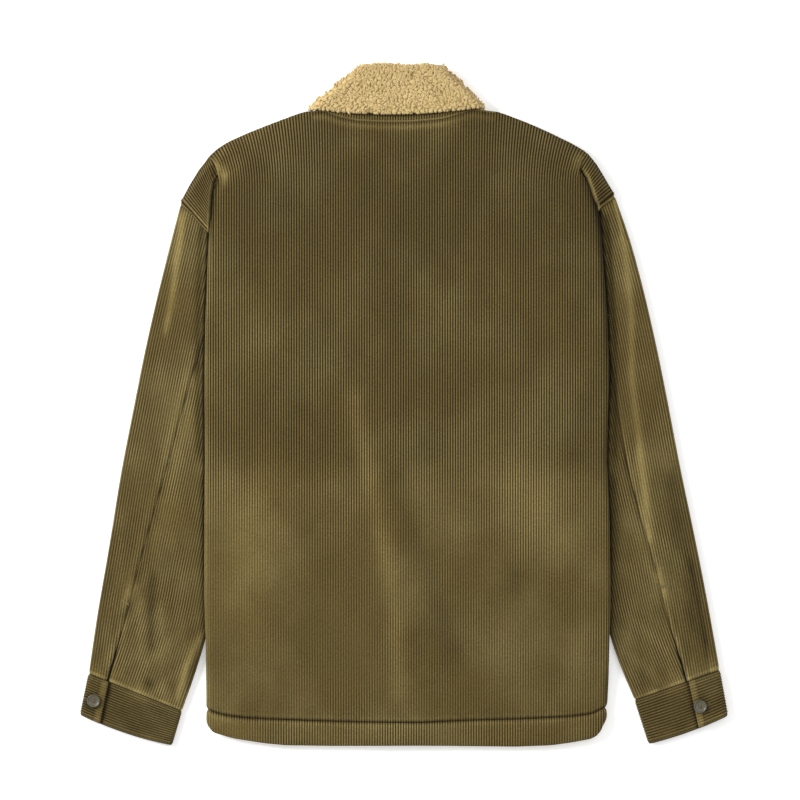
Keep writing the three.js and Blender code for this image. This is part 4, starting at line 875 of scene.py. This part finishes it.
def ring_point(place, foot, top, share, low, high, depth):
    """A point of a ring laid flat: place runs from -3 at one front end over the back to 3."""
    side = np.sign(place)
    reach = np.abs(place)
    left, right, end = ([mix(foot[key][k], top[key][k], share) for k in (0, 1)]
                        for key in ("left", "right", "end"))
    radius = (high - low) / 2
    over = (place + 1) / 2
    flat_x, flat_y = mix(left[0] + radius, right[0] - radius, over), mix(left[1], right[1], over)
    edge_x, edge_y = both(side, left[0], right[0]), both(side, left[1], right[1])
    turn = edge_x - side * radius
    angle = np.pi * (reach - 1)
    front_x, front_y = mix(turn, side * end[0], reach - 2), mix(edge_y, end[1], reach - 2)
    back_part, curl_part = reach <= 1, (reach > 1) & (reach < 2)
    curled_x = turn + side * (radius - depth) * np.sin(angle)
    curled_z = low + radius + (radius - depth) * np.cos(angle)
    x = np.where(back_part, flat_x, np.where(curl_part, curled_x, front_x))
    y = np.where(back_part, flat_y, np.where(curl_part, edge_y, front_y))
    z = np.where(back_part, high - depth, np.where(curl_part, curled_z, low + depth))
    return x, y, z


def ring_places(back_count, turn_count, front_count):
    """Places round a collar ring from -3 to 3, by how many each part has."""
    half = np.concatenate([np.linspace(1, 2, turn_count)[1:], np.linspace(2, 3, front_count)[1:]])
    return np.concatenate([-half[::-1], np.linspace(-1, 1, back_count), half])[None, :]


place = ring_places(290, 12, 60)
shares = np.linspace(0, 1, 16)[:, None] ** 1.5
place, shares = np.broadcast_arrays(place, shares)


def stand_point(depth):
    """A point of the stand, whose foot follows the neck seam and the necklines."""
    x, y, z = ring_point(place, STAND_FOOT, STAND_TOP, shares, LEAF_RISE, STAND_HIGH, depth)
    foot_x, foot_y, _ = ring_point(place, STAND_FOOT, STAND_TOP, 0 * shares, LEAF_RISE, STAND_HIGH, depth)
    reach = np.abs(place)
    y = y + np.where(reach <= 1, (1 - shares) * (along(NECK_SEAM, foot_x, 5) - 0.4 - foot_y), 0)
    for side in (-1, 1):
        near = abs(STAND_FOOT["left" if side < 0 else "right"][0]) - 6.1
        lift = (349.6 - neckline_y(side, np.array(near))) * np.clip(3 - reach, 0, 1) ** 3
        y = y + np.where((reach > 2) & (np.sign(place) == side),
                         (1 - shares) * (neckline_y(side, foot_x) + 1.8 + lift - foot_y), 0)
    return np.stack([x, y, z], 2)


stand_place = stand_point(np.zeros(place.shape))[:, :, 0]
# painted shade where the fall's edge shades the strip below it
stand_nap_and_shade = 0.1 - 0.85 * smooth(1.5, 5.5, shares * STAND_DEPTH)
sunk = RIB_HEIGHT - RIB_HEIGHT * rib(stand_place) + seam_dip(shares * STAND_DEPTH, 1.2)
stand = sew_cloth("collar_stand_band", stand_point(sunk), stand_point(np.full(place.shape, STAND_WALL)),
                  np.stack([stand_place / WALE, shares * STAND_DEPTH / WALE], 2), ["collar_stand"],
                  nap_and_shade=stand_nap_and_shade)

# The collar's fall
# Curly sherpa pile, plump at its edges and joined to the stand at the roll. Its two leaves lie under
# the fronts. Tufts swell the surface and short curls of pile stand on it.
FALL_ROLL = dict(left=(-50, 402), right=(46, 401), end=(40, 272))
FALL_EDGE = dict(left=(-114.2, 349), right=(97.8, 351), end=(84, 196))
FALL_HIGH = 24.8
# the pile's two colours, lit tops and painted shade deep in the hollows between the tufts, mixed by the
# pile's depth; the curls are painted darker at their ends the same way
SHERPA_LIT_TOPS = (0.575, 0.42, 0.19, 1)
SHERPA_SHADED_HOLLOWS = (0.25, 0.155, 0.045, 1)
sherpa, tree, shader, coordinates = new_material("sherpa_pile", {
    "Roughness": 1.0, "Sheen Weight": 0.15, "Sheen Roughness": 0.6, "Sheen Tint": (1.0, 0.93, 0.8, 1),
    "Specular IOR Level": 0.1, "Subsurface Weight": 0.08})
depth_of_pile = add_node(tree, "ShaderNodeAttribute", {}, attribute_name="pile_depth")
pile_mottle = add_node(tree, "ShaderNodeGroup", {}, node_tree=mottle)
set_inputs(tree, pile_mottle, {0: (coordinates, "Object"), 1: 1400.0, 2: 45.0})
lift = add_node(tree, "ShaderNodeMath", {0: (pile_mottle, "Drift"), 1: 0.5, 2: -0.25},
                operation="MULTIPLY_ADD")
reach_of_light = add_node(tree, "ShaderNodeMath", {0: (depth_of_pile, "Fac"), 1: (lift, 0)}, operation="ADD",
                          use_clamp=True)
pile_mix = add_node(tree, "ShaderNodeMix", {MIX_SHARE: (reach_of_light, 0), MIX_LOW: SHERPA_SHADED_HOLLOWS,
                                            MIX_HIGH: SHERPA_LIT_TOPS}, data_type="RGBA")
wool = add_node(tree, "ShaderNodeBump", {0: 0.6, 1: 0.0004, "Height": (pile_mottle, "Fleck")})
set_inputs(tree, shader, {"Base Color": (pile_mix, MIX_COLOUR), "Normal": (wool, 0)})

place = ring_places(250, 26, 62)
shares = spread(62, [0, 0.008, 0.02, 0.035])[:, None]
place, shares = np.broadcast_arrays(place, shares)
wall = np.where(np.abs(place) <= 1, 6.5, np.clip(6.5 - 1.5 * (np.abs(place) - 1), 5, 6.5))


def fall_point(depth):
    """A point of the fall, bowed at its lower edge and dented at the roll."""
    x, y, z = ring_point(place, FALL_ROLL, FALL_EDGE, shares, 0.0, FALL_HIGH, depth)
    over = (place + 1) / 2
    bow = np.where(np.abs(place) <= 1, -6 * 4 * over * (1 - over), 0)
    corner = np.where(np.abs(place) <= 2, np.clip((np.abs(place) - 0.86) / 0.14, 0, 1) ** 2, 0)
    y = y - 1.4 * corner * (1 - shares) ** 10
    dent = np.where(np.abs(place) <= 1, -1.4 * bell(over - 0.52, 0.22) * (1 - shares) ** 3, 0)
    return np.stack([x, y + shares * bow + dent, z], 2)


surface = fall_point(np.zeros(place.shape))
random = np.random.default_rng(7)
noise.seed_set(7)
TUFT_PITCH = 5.0
TUFTS_TRIED = 9000
tufts = surface.reshape(-1, 3)[random.choice(surface.shape[0] * surface.shape[1], TUFTS_TRIED, replace=False)]
# of all these points the tufts keep those that lie a pitch apart
kept = []
cells = {}
NEIGHBOURS = [(a, b, c) for a in (-1, 0, 1) for b in (-1, 0, 1) for c in (-1, 0, 1)]
for tuft in tufts:
    cell = tuple((tuft // TUFT_PITCH).astype(int))
    close = [cells.get((cell[0] + a, cell[1] + b, cell[2] + c)) for a, b, c in NEIGHBOURS]
    if all(other is None or np.linalg.norm(other - tuft) > TUFT_PITCH * 0.8 for other in close):
        cells[cell] = tuft
        kept.append(tuft)
tree_of_tufts = kdtree.KDTree(len(kept))
for k, tuft in enumerate(kept):
    tree_of_tufts.insert(tuft, k)
tree_of_tufts.balance()
swell = np.empty(place.shape)
for i in range(place.shape[0]):
    for j in range(place.shape[1]):
        px, py, pz = surface[i, j]
        bend = Vector((px, py, pz)) * 0.35
        shifted = Vector((px, py, pz)) + noise.noise_vector(bend) * 1.3
        found = tree_of_tufts.find_n(shifted, 2)
        gap = found[1][2] - found[0][2]
        swell[i, j] = min(1.0, gap / 1.9)
swell = np.sqrt(swell)
edge = np.minimum(shares, 1 - shares) * 72
plump = 3.0 * (1 - np.sqrt(np.clip(1 - np.clip(1 - edge / 4.5, 0, 1) ** 2, 0, 1)))
above = np.where(np.abs(place) > 2, 0.0, 1.0)
depth = np.where(above > 0, 1.9 - 2.6 * swell + plump, np.maximum(1.6 - 1.6 * swell + plump * 0.4, 0.0))
outer = fall_point(depth)
ragged = (swell - 0.45) * 3.2 * np.exp(-edge / 2.5)
outer[:, :, 1] += np.where(shares > 0.5, -ragged, ragged)
inner = fall_point(wall)
fall = sew_cloth("collar_sherpa", outer, inner, np.stack([place * 30, shares * 30], 2), ["collar_fall"],
                 materials=(sherpa, corduroy))
pile_tree = kdtree.KDTree(outer.shape[0] * outer.shape[1])
for k, point in enumerate(outer.reshape(-1, 3)):
    pile_tree.insert(point * MM, k)
pile_tree.balance()
heights = swell.ravel()
depths = [heights[pile_tree.find(vertex.co)[1]] for vertex in fall.data.vertices]
fall.data.attributes.new("pile_depth", "FLOAT", "POINT").data.foreach_set("value", depths)

# The curls of pile on the fall
# Short bent tufts of wool, each a few millimetres long, standing on the swells of the fall that
# they grow from.
CURLS_TRIED = 3400
CURL_SIDES, CURL_STEPS = 5, 5
curl_points, curl_faces, curl_shade = [], [], []


def add_tube_faces(faces, base, rings, sides):
    """The faces of a closed tube whose rings of points start at base."""
    for ring in range(rings - 1):
        for corner in range(sides):
            a = base + ring * sides + corner
            b = base + ring * sides + (corner + 1) % sides
            faces.append((a, b, b + sides, a + sides))
    faces.append(tuple(base + corner for corner in reversed(range(sides))))
    faces.append(tuple(base + (rings - 1) * sides + corner for corner in range(sides)))


def add_tubes(name, points, faces, material):
    """A piece made of many small tubes."""
    mesh = bpy.data.meshes.new(name)
    mesh.from_pydata(points, [], faces)
    mesh.polygons.foreach_set("use_smooth", [True] * len(mesh.polygons))
    mesh.materials.append(material)
    tubes = bpy.data.objects.new(name, mesh)
    bpy.context.scene.collection.objects.link(tubes)
    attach(tubes, "root")
    return tubes


flat_outer = outer.reshape(-1, 3)
flat_place = np.abs(place).ravel()
flat_edge, flat_share = edge.ravel(), shares.ravel()
candidates = random.choice(len(heights), CURLS_TRIED, replace=False)
for k in candidates:
    if flat_place[k] > 1.9 or heights[k] < 0.35 or flat_edge[k] < 2.0:
        continue
    centre = flat_outer[k]
    outward = np.array([0.0, 0.0, 1.0])
    if flat_place[k] > 1:
        angle = math.pi * (flat_place[k] - 1)
        outward = np.array([math.copysign(math.sin(angle), place.ravel()[k]), 0.0, math.cos(angle)])
    # the tufts lie in slow swirls, and hang down at the lower edge
    swirl_at = Vector(centre) * 0.03
    heading = 5.0 * noise.noise(swirl_at) + random.uniform(-0.7, 0.7)
    heading = heading + (math.pi if flat_share[k] > 0.9 else 0)
    tangent = np.array([0.0, 1.0, 0.0])
    cross = np.cross(outward, tangent)
    run = tangent * math.cos(heading) + cross * math.sin(heading)
    sideways = np.cross(outward, run)
    bend_radius = random.uniform(2.4, 4.2)
    sweep = random.uniform(0.8, 1.5)
    thickness = random.uniform(0.85, 1.35)
    base = len(curl_points)
    for step in range(CURL_STEPS):
        t = step / (CURL_STEPS - 1)
        bent = t * sweep
        middle = (centre + run * bend_radius * math.sin(bent) + sideways * bend_radius * (1 - math.cos(bent))
                  + outward * (-0.9 + 0.7 * math.sin(math.pi * t)))
        heading_now = run * math.cos(bent) + sideways * math.sin(bent)
        left = np.cross(heading_now, outward)
        girth = thickness * (0.72 + 0.28 * math.sin(math.pi * t))
        for corner in range(CURL_SIDES):
            turn_angle = 2 * math.pi * corner / CURL_SIDES
            round_it = left * math.cos(turn_angle) + outward * math.sin(turn_angle)
            curl_points.append((middle + girth * round_it) * MM)
            curl_shade.append(0.62 + 0.38 * math.sin(math.pi * t))
    add_tube_faces(curl_faces, base, CURL_STEPS, CURL_SIDES)
curls = add_tubes("sherpa_curls", [tuple(point) for point in curl_points], curl_faces, sherpa)
curls.data.attributes.new("pile_depth", "FLOAT", "POINT").data.foreach_set("value", curl_shade)

# The buttons
# Small horn buttons with a raised rim and four holes, sewn on with thread: one on each cuff's lap,
# and a row of plain ones under the fronts.
BUTTON_RADIUS = 7.6 * MM
BUTTON_THICKNESS = 3 * MM
HOLE_RADIUS = 0.75
HOLE_REACH = 1.9
FRONT_BUTTONS = 6
horn, tree, shader, coordinates = new_material("grey_horn", {"Roughness": 0.38, "Coat Weight": 0.1})
swirl = add_node(tree, "ShaderNodeGroup", {}, node_tree=mottle)
set_inputs(tree, swirl, {0: (coordinates, "Object"), 1: 700.0, 2: 120.0})
horn_mix = add_node(tree, "ShaderNodeMix", {MIX_SHARE: (swirl, "Drift"), MIX_LOW: (0.035, 0.032, 0.018, 1),
                                            MIX_HIGH: (0.11, 0.10, 0.065, 1)}, data_type="RGBA")
horn_bump = add_node(tree, "ShaderNodeBump", {0: 0.15, 1: 0.0001, "Height": (swirl, "Fleck")})
set_inputs(tree, shader, {"Base Color": (horn_mix, MIX_COLOUR), "Normal": (horn_bump, 0)})


def make_button(name, x, y, z, face_up, node):
    """A disc pressed into a dish with a rim; x, y, z is its middle."""
    bpy.ops.mesh.primitive_cylinder_add(vertices=40, radius=BUTTON_RADIUS, depth=BUTTON_THICKNESS,
                                        location=(x, y, z))
    button = bpy.context.object
    button.name = name
    bpy.ops.object.mode_set(mode="EDIT")
    bpy.ops.mesh.select_all(action="DESELECT")
    bpy.ops.object.mode_set(mode="OBJECT")
    for polygon in button.data.polygons:
        polygon.select = polygon.normal.z * (1 if face_up else -1) > 0.9
    bpy.ops.object.mode_set(mode="EDIT")
    sign = 1 if face_up else -1
    bpy.ops.mesh.inset(thickness=BUTTON_RADIUS * 0.13)
    bpy.ops.mesh.inset(thickness=BUTTON_RADIUS * 0.14)
    bpy.ops.transform.translate(value=(0, 0, -0.9 * MM * sign))
    bpy.ops.mesh.inset(thickness=BUTTON_RADIUS * 0.2)
    bpy.ops.transform.translate(value=(0, 0, -0.25 * MM * sign))
    bpy.ops.object.mode_set(mode="OBJECT")
    bevel = button.modifiers.new("rim", "BEVEL")
    bevel.width = 0.45 * MM
    bevel.segments = 3
    bevel.limit_method = "ANGLE"
    bpy.ops.object.modifier_apply(modifier="rim")
    for k in range(4):
        angle = math.pi / 4 + k * math.pi / 2
        hole_at = (x + HOLE_REACH * MM * math.cos(angle), y + HOLE_REACH * MM * math.sin(angle), z)
        bpy.ops.mesh.primitive_cylinder_add(vertices=12, radius=HOLE_RADIUS * MM, depth=8 * MM,
                                            location=hole_at)
        drill = bpy.context.object
        hole = button.modifiers.new("hole", "BOOLEAN")
        hole.object = drill
        hole.operation = "DIFFERENCE"
        bpy.context.view_layer.objects.active = button
        bpy.ops.object.modifier_apply(modifier="hole")
        bpy.data.objects.remove(drill)
    bpy.ops.object.select_all(action="DESELECT")
    button.select_set(True)
    bpy.context.view_layer.objects.active = button
    bpy.ops.object.transform_apply(location=True, rotation=True, scale=True)
    bpy.ops.object.shade_smooth_by_angle(angle=math.radians(35))
    button.data.materials.clear()
    button.data.materials.append(horn)
    button.select_set(False)
    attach(button, "root")
    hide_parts(node)


for side, word in ((-1, "left"), (1, "right")):
    bx, by = CUFF[side]["button"]
    make_button("button_" + word, bx * MM, by * MM, (LAP_HEIGHT + SEAM_GAP + 1.5) * MM, True,
                "button_cuff_" + word)
for k in range(FRONT_BUTTONS):
    make_button("button_hidden_%d" % (k + 1), 0, (-350 + 105 * k) * MM, 1.5 * MM, False,
                "button_front_%d" % (k + 1))

# The stitching
# Short stitches of olive thread sunk in the pile along the seams, bar tacks at the tops of the
# vents, the buttonholes' threads and the crosses that hold the buttons.
STITCH_PITCH, STITCH_LENGTH, STITCH_RADIUS = 3.2, 2.3, 0.3
STITCH_SIDES = 6
# each ring of a stitch: how far along it lies, its girth and how high it rises
STITCH_RINGS = ((0, 0.35, -0.35), (0.22, 0.9, 0.05), (0.5, 1, 0.18), (0.78, 0.9, 0.05), (1, 0.35, -0.35))
stitch_points, stitch_faces = [], []
thread, tree, shader, coordinates = new_material("olive_thread", {"Roughness": 0.8})
twist = add_node(tree, "ShaderNodeTexNoise", {"Vector": (coordinates, "Object"), 2: 2500.0})
thread_tone = add_node(tree, "ShaderNodeMix", {MIX_SHARE: (twist, "Fac"), MIX_LOW: (0.09, 0.066, 0.02, 1),
                                               MIX_HIGH: (0.19, 0.15, 0.06, 1)}, data_type="RGBA")
set_inputs(tree, shader, {"Base Color": (thread_tone, MIX_COLOUR)})


def add_stitch(start, end, radius):
    """One stitch, sunk at its ends, between two points in millimetres."""
    start, end = np.array(start, float), np.array(end, float)
    run = end - start
    length = np.linalg.norm(run)
    run = run / length
    up = np.array([0.0, 0.0, 1.0])
    left = np.cross(run, up)
    left = left / np.linalg.norm(left)
    up = np.cross(left, run)
    base = len(stitch_points)
    for t, girth, rise in STITCH_RINGS:
        for corner in range(STITCH_SIDES):
            angle = math.pi / 3 * corner
            round_it = radius * girth * (left * math.cos(angle) + up * math.sin(angle))
            point = start + run * length * t + up * rise + round_it
            stitch_points.append(tuple(point * MM))
    add_tube_faces(stitch_faces, base, len(STITCH_RINGS), STITCH_SIDES)


def stitch_line(points, pitch=STITCH_PITCH, length=STITCH_LENGTH, radius=STITCH_RADIUS):
    """Stitches one after another along a line of points in millimetres."""
    points = np.array(points, float)
    walked = np.concatenate([[0], np.cumsum(np.linalg.norm(np.diff(points, axis=0), axis=1))])
    at = 0.4
    while at + length < walked[-1]:
        ends = [[np.interp(d, walked, points[:, k]) for k in range(3)] for d in (at, at + length)]
        add_stitch(ends[0], ends[1], radius)
        at += pitch


for side in (-1, 1):
    rows = np.linspace(0.1, 0.985, 150)[:, None]
    seam = sleeve_rows(side, rows)[4]
    for offset in (-2.0, -7.0):
        line = sleeve_point(side, rows, seam + offset / SLEEVE_WIDTH, np.full(rows.shape, 0.25))[:, 0]
        keep = np.abs(line[:, 0]) > np.abs(body_edge(np.full(len(line), side), line[:, 1])) + 1
        vent_cut = rows[:, 0] < (0.985 if offset > -5 else 0.86)
        stitch_line(line[keep & vent_cut])
    turns = np.linspace(0.03, 0.97, 80)[None, :]
    lap_turns = np.linspace(2.03, 2 + CUFF[side]["lap"] - 0.02, 20)[None, :]
    for down in (0.05, 0.94):
        line = cuff_point(side, np.full(turns.shape, down), turns, np.full(turns.shape, 0.45))[0]
        stitch_line(line[turns[0] > CUFF[side]["lap"] + 0.02])
        on_it = np.full(lap_turns.shape, down)
        stitch_line(cuff_point(side, on_it, lap_turns, np.full(lap_turns.shape, 0.45))[0])
    lap_rows = np.linspace(0.06, 0.94, 30)[:, None]
    for inward in (1.6, 8.0):
        lap_turn = np.full(lap_rows.shape, 2 + CUFF[side]["lap"] - inward / CUFF_WIDTH)
        stitch_line(cuff_point(side, lap_rows, lap_turn, np.full(lap_rows.shape, 0.4))[:, 0])

seam_x = np.linspace(-228, 234, 400)
seam_groove = along(GROOVE, seam_x, 4)
for shift, sink in ((2.4, 1.4), (-30, 1.0)):
    line_y = seam_groove + shift if shift > 0 else along(HEM_EDGE, seam_x, 4) + 4.5
    level = back_inner(seam_x, np.full(seam_x.shape, HEM_LEVEL)) + BODY_WALL - sink
    stitch_line(np.stack([seam_x, line_y, level], 1))
neck_x = np.linspace(-84, 74, 160)
neck_y = along(NECK_SEAM, neck_x, 5)
for shift in (-2.2, 3.2):
    level = back_inner(neck_x, neck_y - 3) + BODY_WALL - (0.3 if shift < 0 else 0.6)
    stitch_line(np.stack([neck_x, neck_y + shift, level], 1), 2.6, 2.0)

VENT_TACK = {-1: [(-334.8, -227.7, 9.3), (-323.5, -235.4, 9.3)],
             1: [(301.9, -213, 9.3), (316.2, -213.6, 9.3)]}
for side in (-1, 1):
    (ax, ay, az), (bx, by, bz) = VENT_TACK[side]
    for row in range(5):
        drop = row * 0.5
        add_stitch((ax, ay - drop, az), (mix(ax, bx, 0.52), mix(ay, by, 0.52) - drop, az), 0.34)
        add_stitch((mix(ax, bx, 0.48), mix(ay, by, 0.48) - drop, az), (bx, by - drop, bz), 0.34)
    bx, by = CUFF[side]["button"]
    for way in (1, -1):
        add_stitch((bx - HOLE_REACH, by - HOLE_REACH * way, LAP_HEIGHT + 2.5),
                   (bx + HOLE_REACH, by + HOLE_REACH * way, LAP_HEIGHT + 2.5), 0.45)
    # the buttonhole runs out from under the button towards the fold
    for row in range(9):
        hx, hy = bx + side * (5.5 + row * 0.75), by + 1.0 * row * 0.35
        add_stitch((hx, hy + 1.5, LAP_HEIGHT - 0.1), (hx + 0.2, hy - 0.2, LAP_HEIGHT - 0.1), 0.3)
        add_stitch((hx, hy - 0.5, LAP_HEIGHT - 0.1), (hx + 0.2, hy - 2.2, LAP_HEIGHT - 0.1), 0.3)
add_tubes("seam_stitches", stitch_points, stitch_faces, thread)

# The table that the jacket lies on
# A plain pale surface, wide enough for every view.
bpy.ops.mesh.primitive_plane_add(size=12, location=(0, 0, -0.0004))
floor = bpy.context.object
floor.name = "pale_surface"
paper = new_material("pale_paper", {"Base Color": (0.88, 0.88, 0.87, 1), "Roughness": 0.9,
                                    "Emission Color": (1, 1, 1, 1), "Emission Strength": 0.3})[0]
floor.data.materials.append(paper)

# Lights and camera
# Soft studio light from above, a little from the upper left, and a long lens straight down.
PICTURE_WIDTH = 0.944
CAMERA_HEIGHT = 6.0
PICTURE_CENTRE = (-0.0041, 0.0059)
bpy.context.scene.view_settings.view_transform = "Standard"
world = bpy.context.scene.world or bpy.data.worlds.new("studio")
bpy.context.scene.world = world
world.use_nodes = True
world.node_tree.nodes["Background"].inputs["Color"].default_value = (1, 1, 1, 1)
world.node_tree.nodes["Background"].inputs["Strength"].default_value = 0.62
for name, place, size, power in (("key", (-2.4, 0.9, 1.9), 1.1, 95), ("fill", (1.2, 0.6, 3.0), 2.2, 26)):
    lamp = bpy.data.lights.new(name, "AREA")
    lamp.size = size
    lamp.energy = power
    lit = bpy.data.objects.new(name, lamp)
    bpy.context.scene.collection.objects.link(lit)
    lit.location = place
    lit.rotation_euler = (Vector((0, 0, 0)) - Vector(place)).to_track_quat("-Z", "Y").to_euler()
lens = bpy.data.cameras.new("above")
lens.sensor_width = 36
lens.lens = 36 * (CAMERA_HEIGHT - 0.012) / PICTURE_WIDTH
lens.clip_end = 50
camera = bpy.data.objects.new("above", lens)
bpy.context.scene.collection.objects.link(camera)
camera.location = (*PICTURE_CENTRE, CAMERA_HEIGHT)
bpy.context.scene.camera = camera
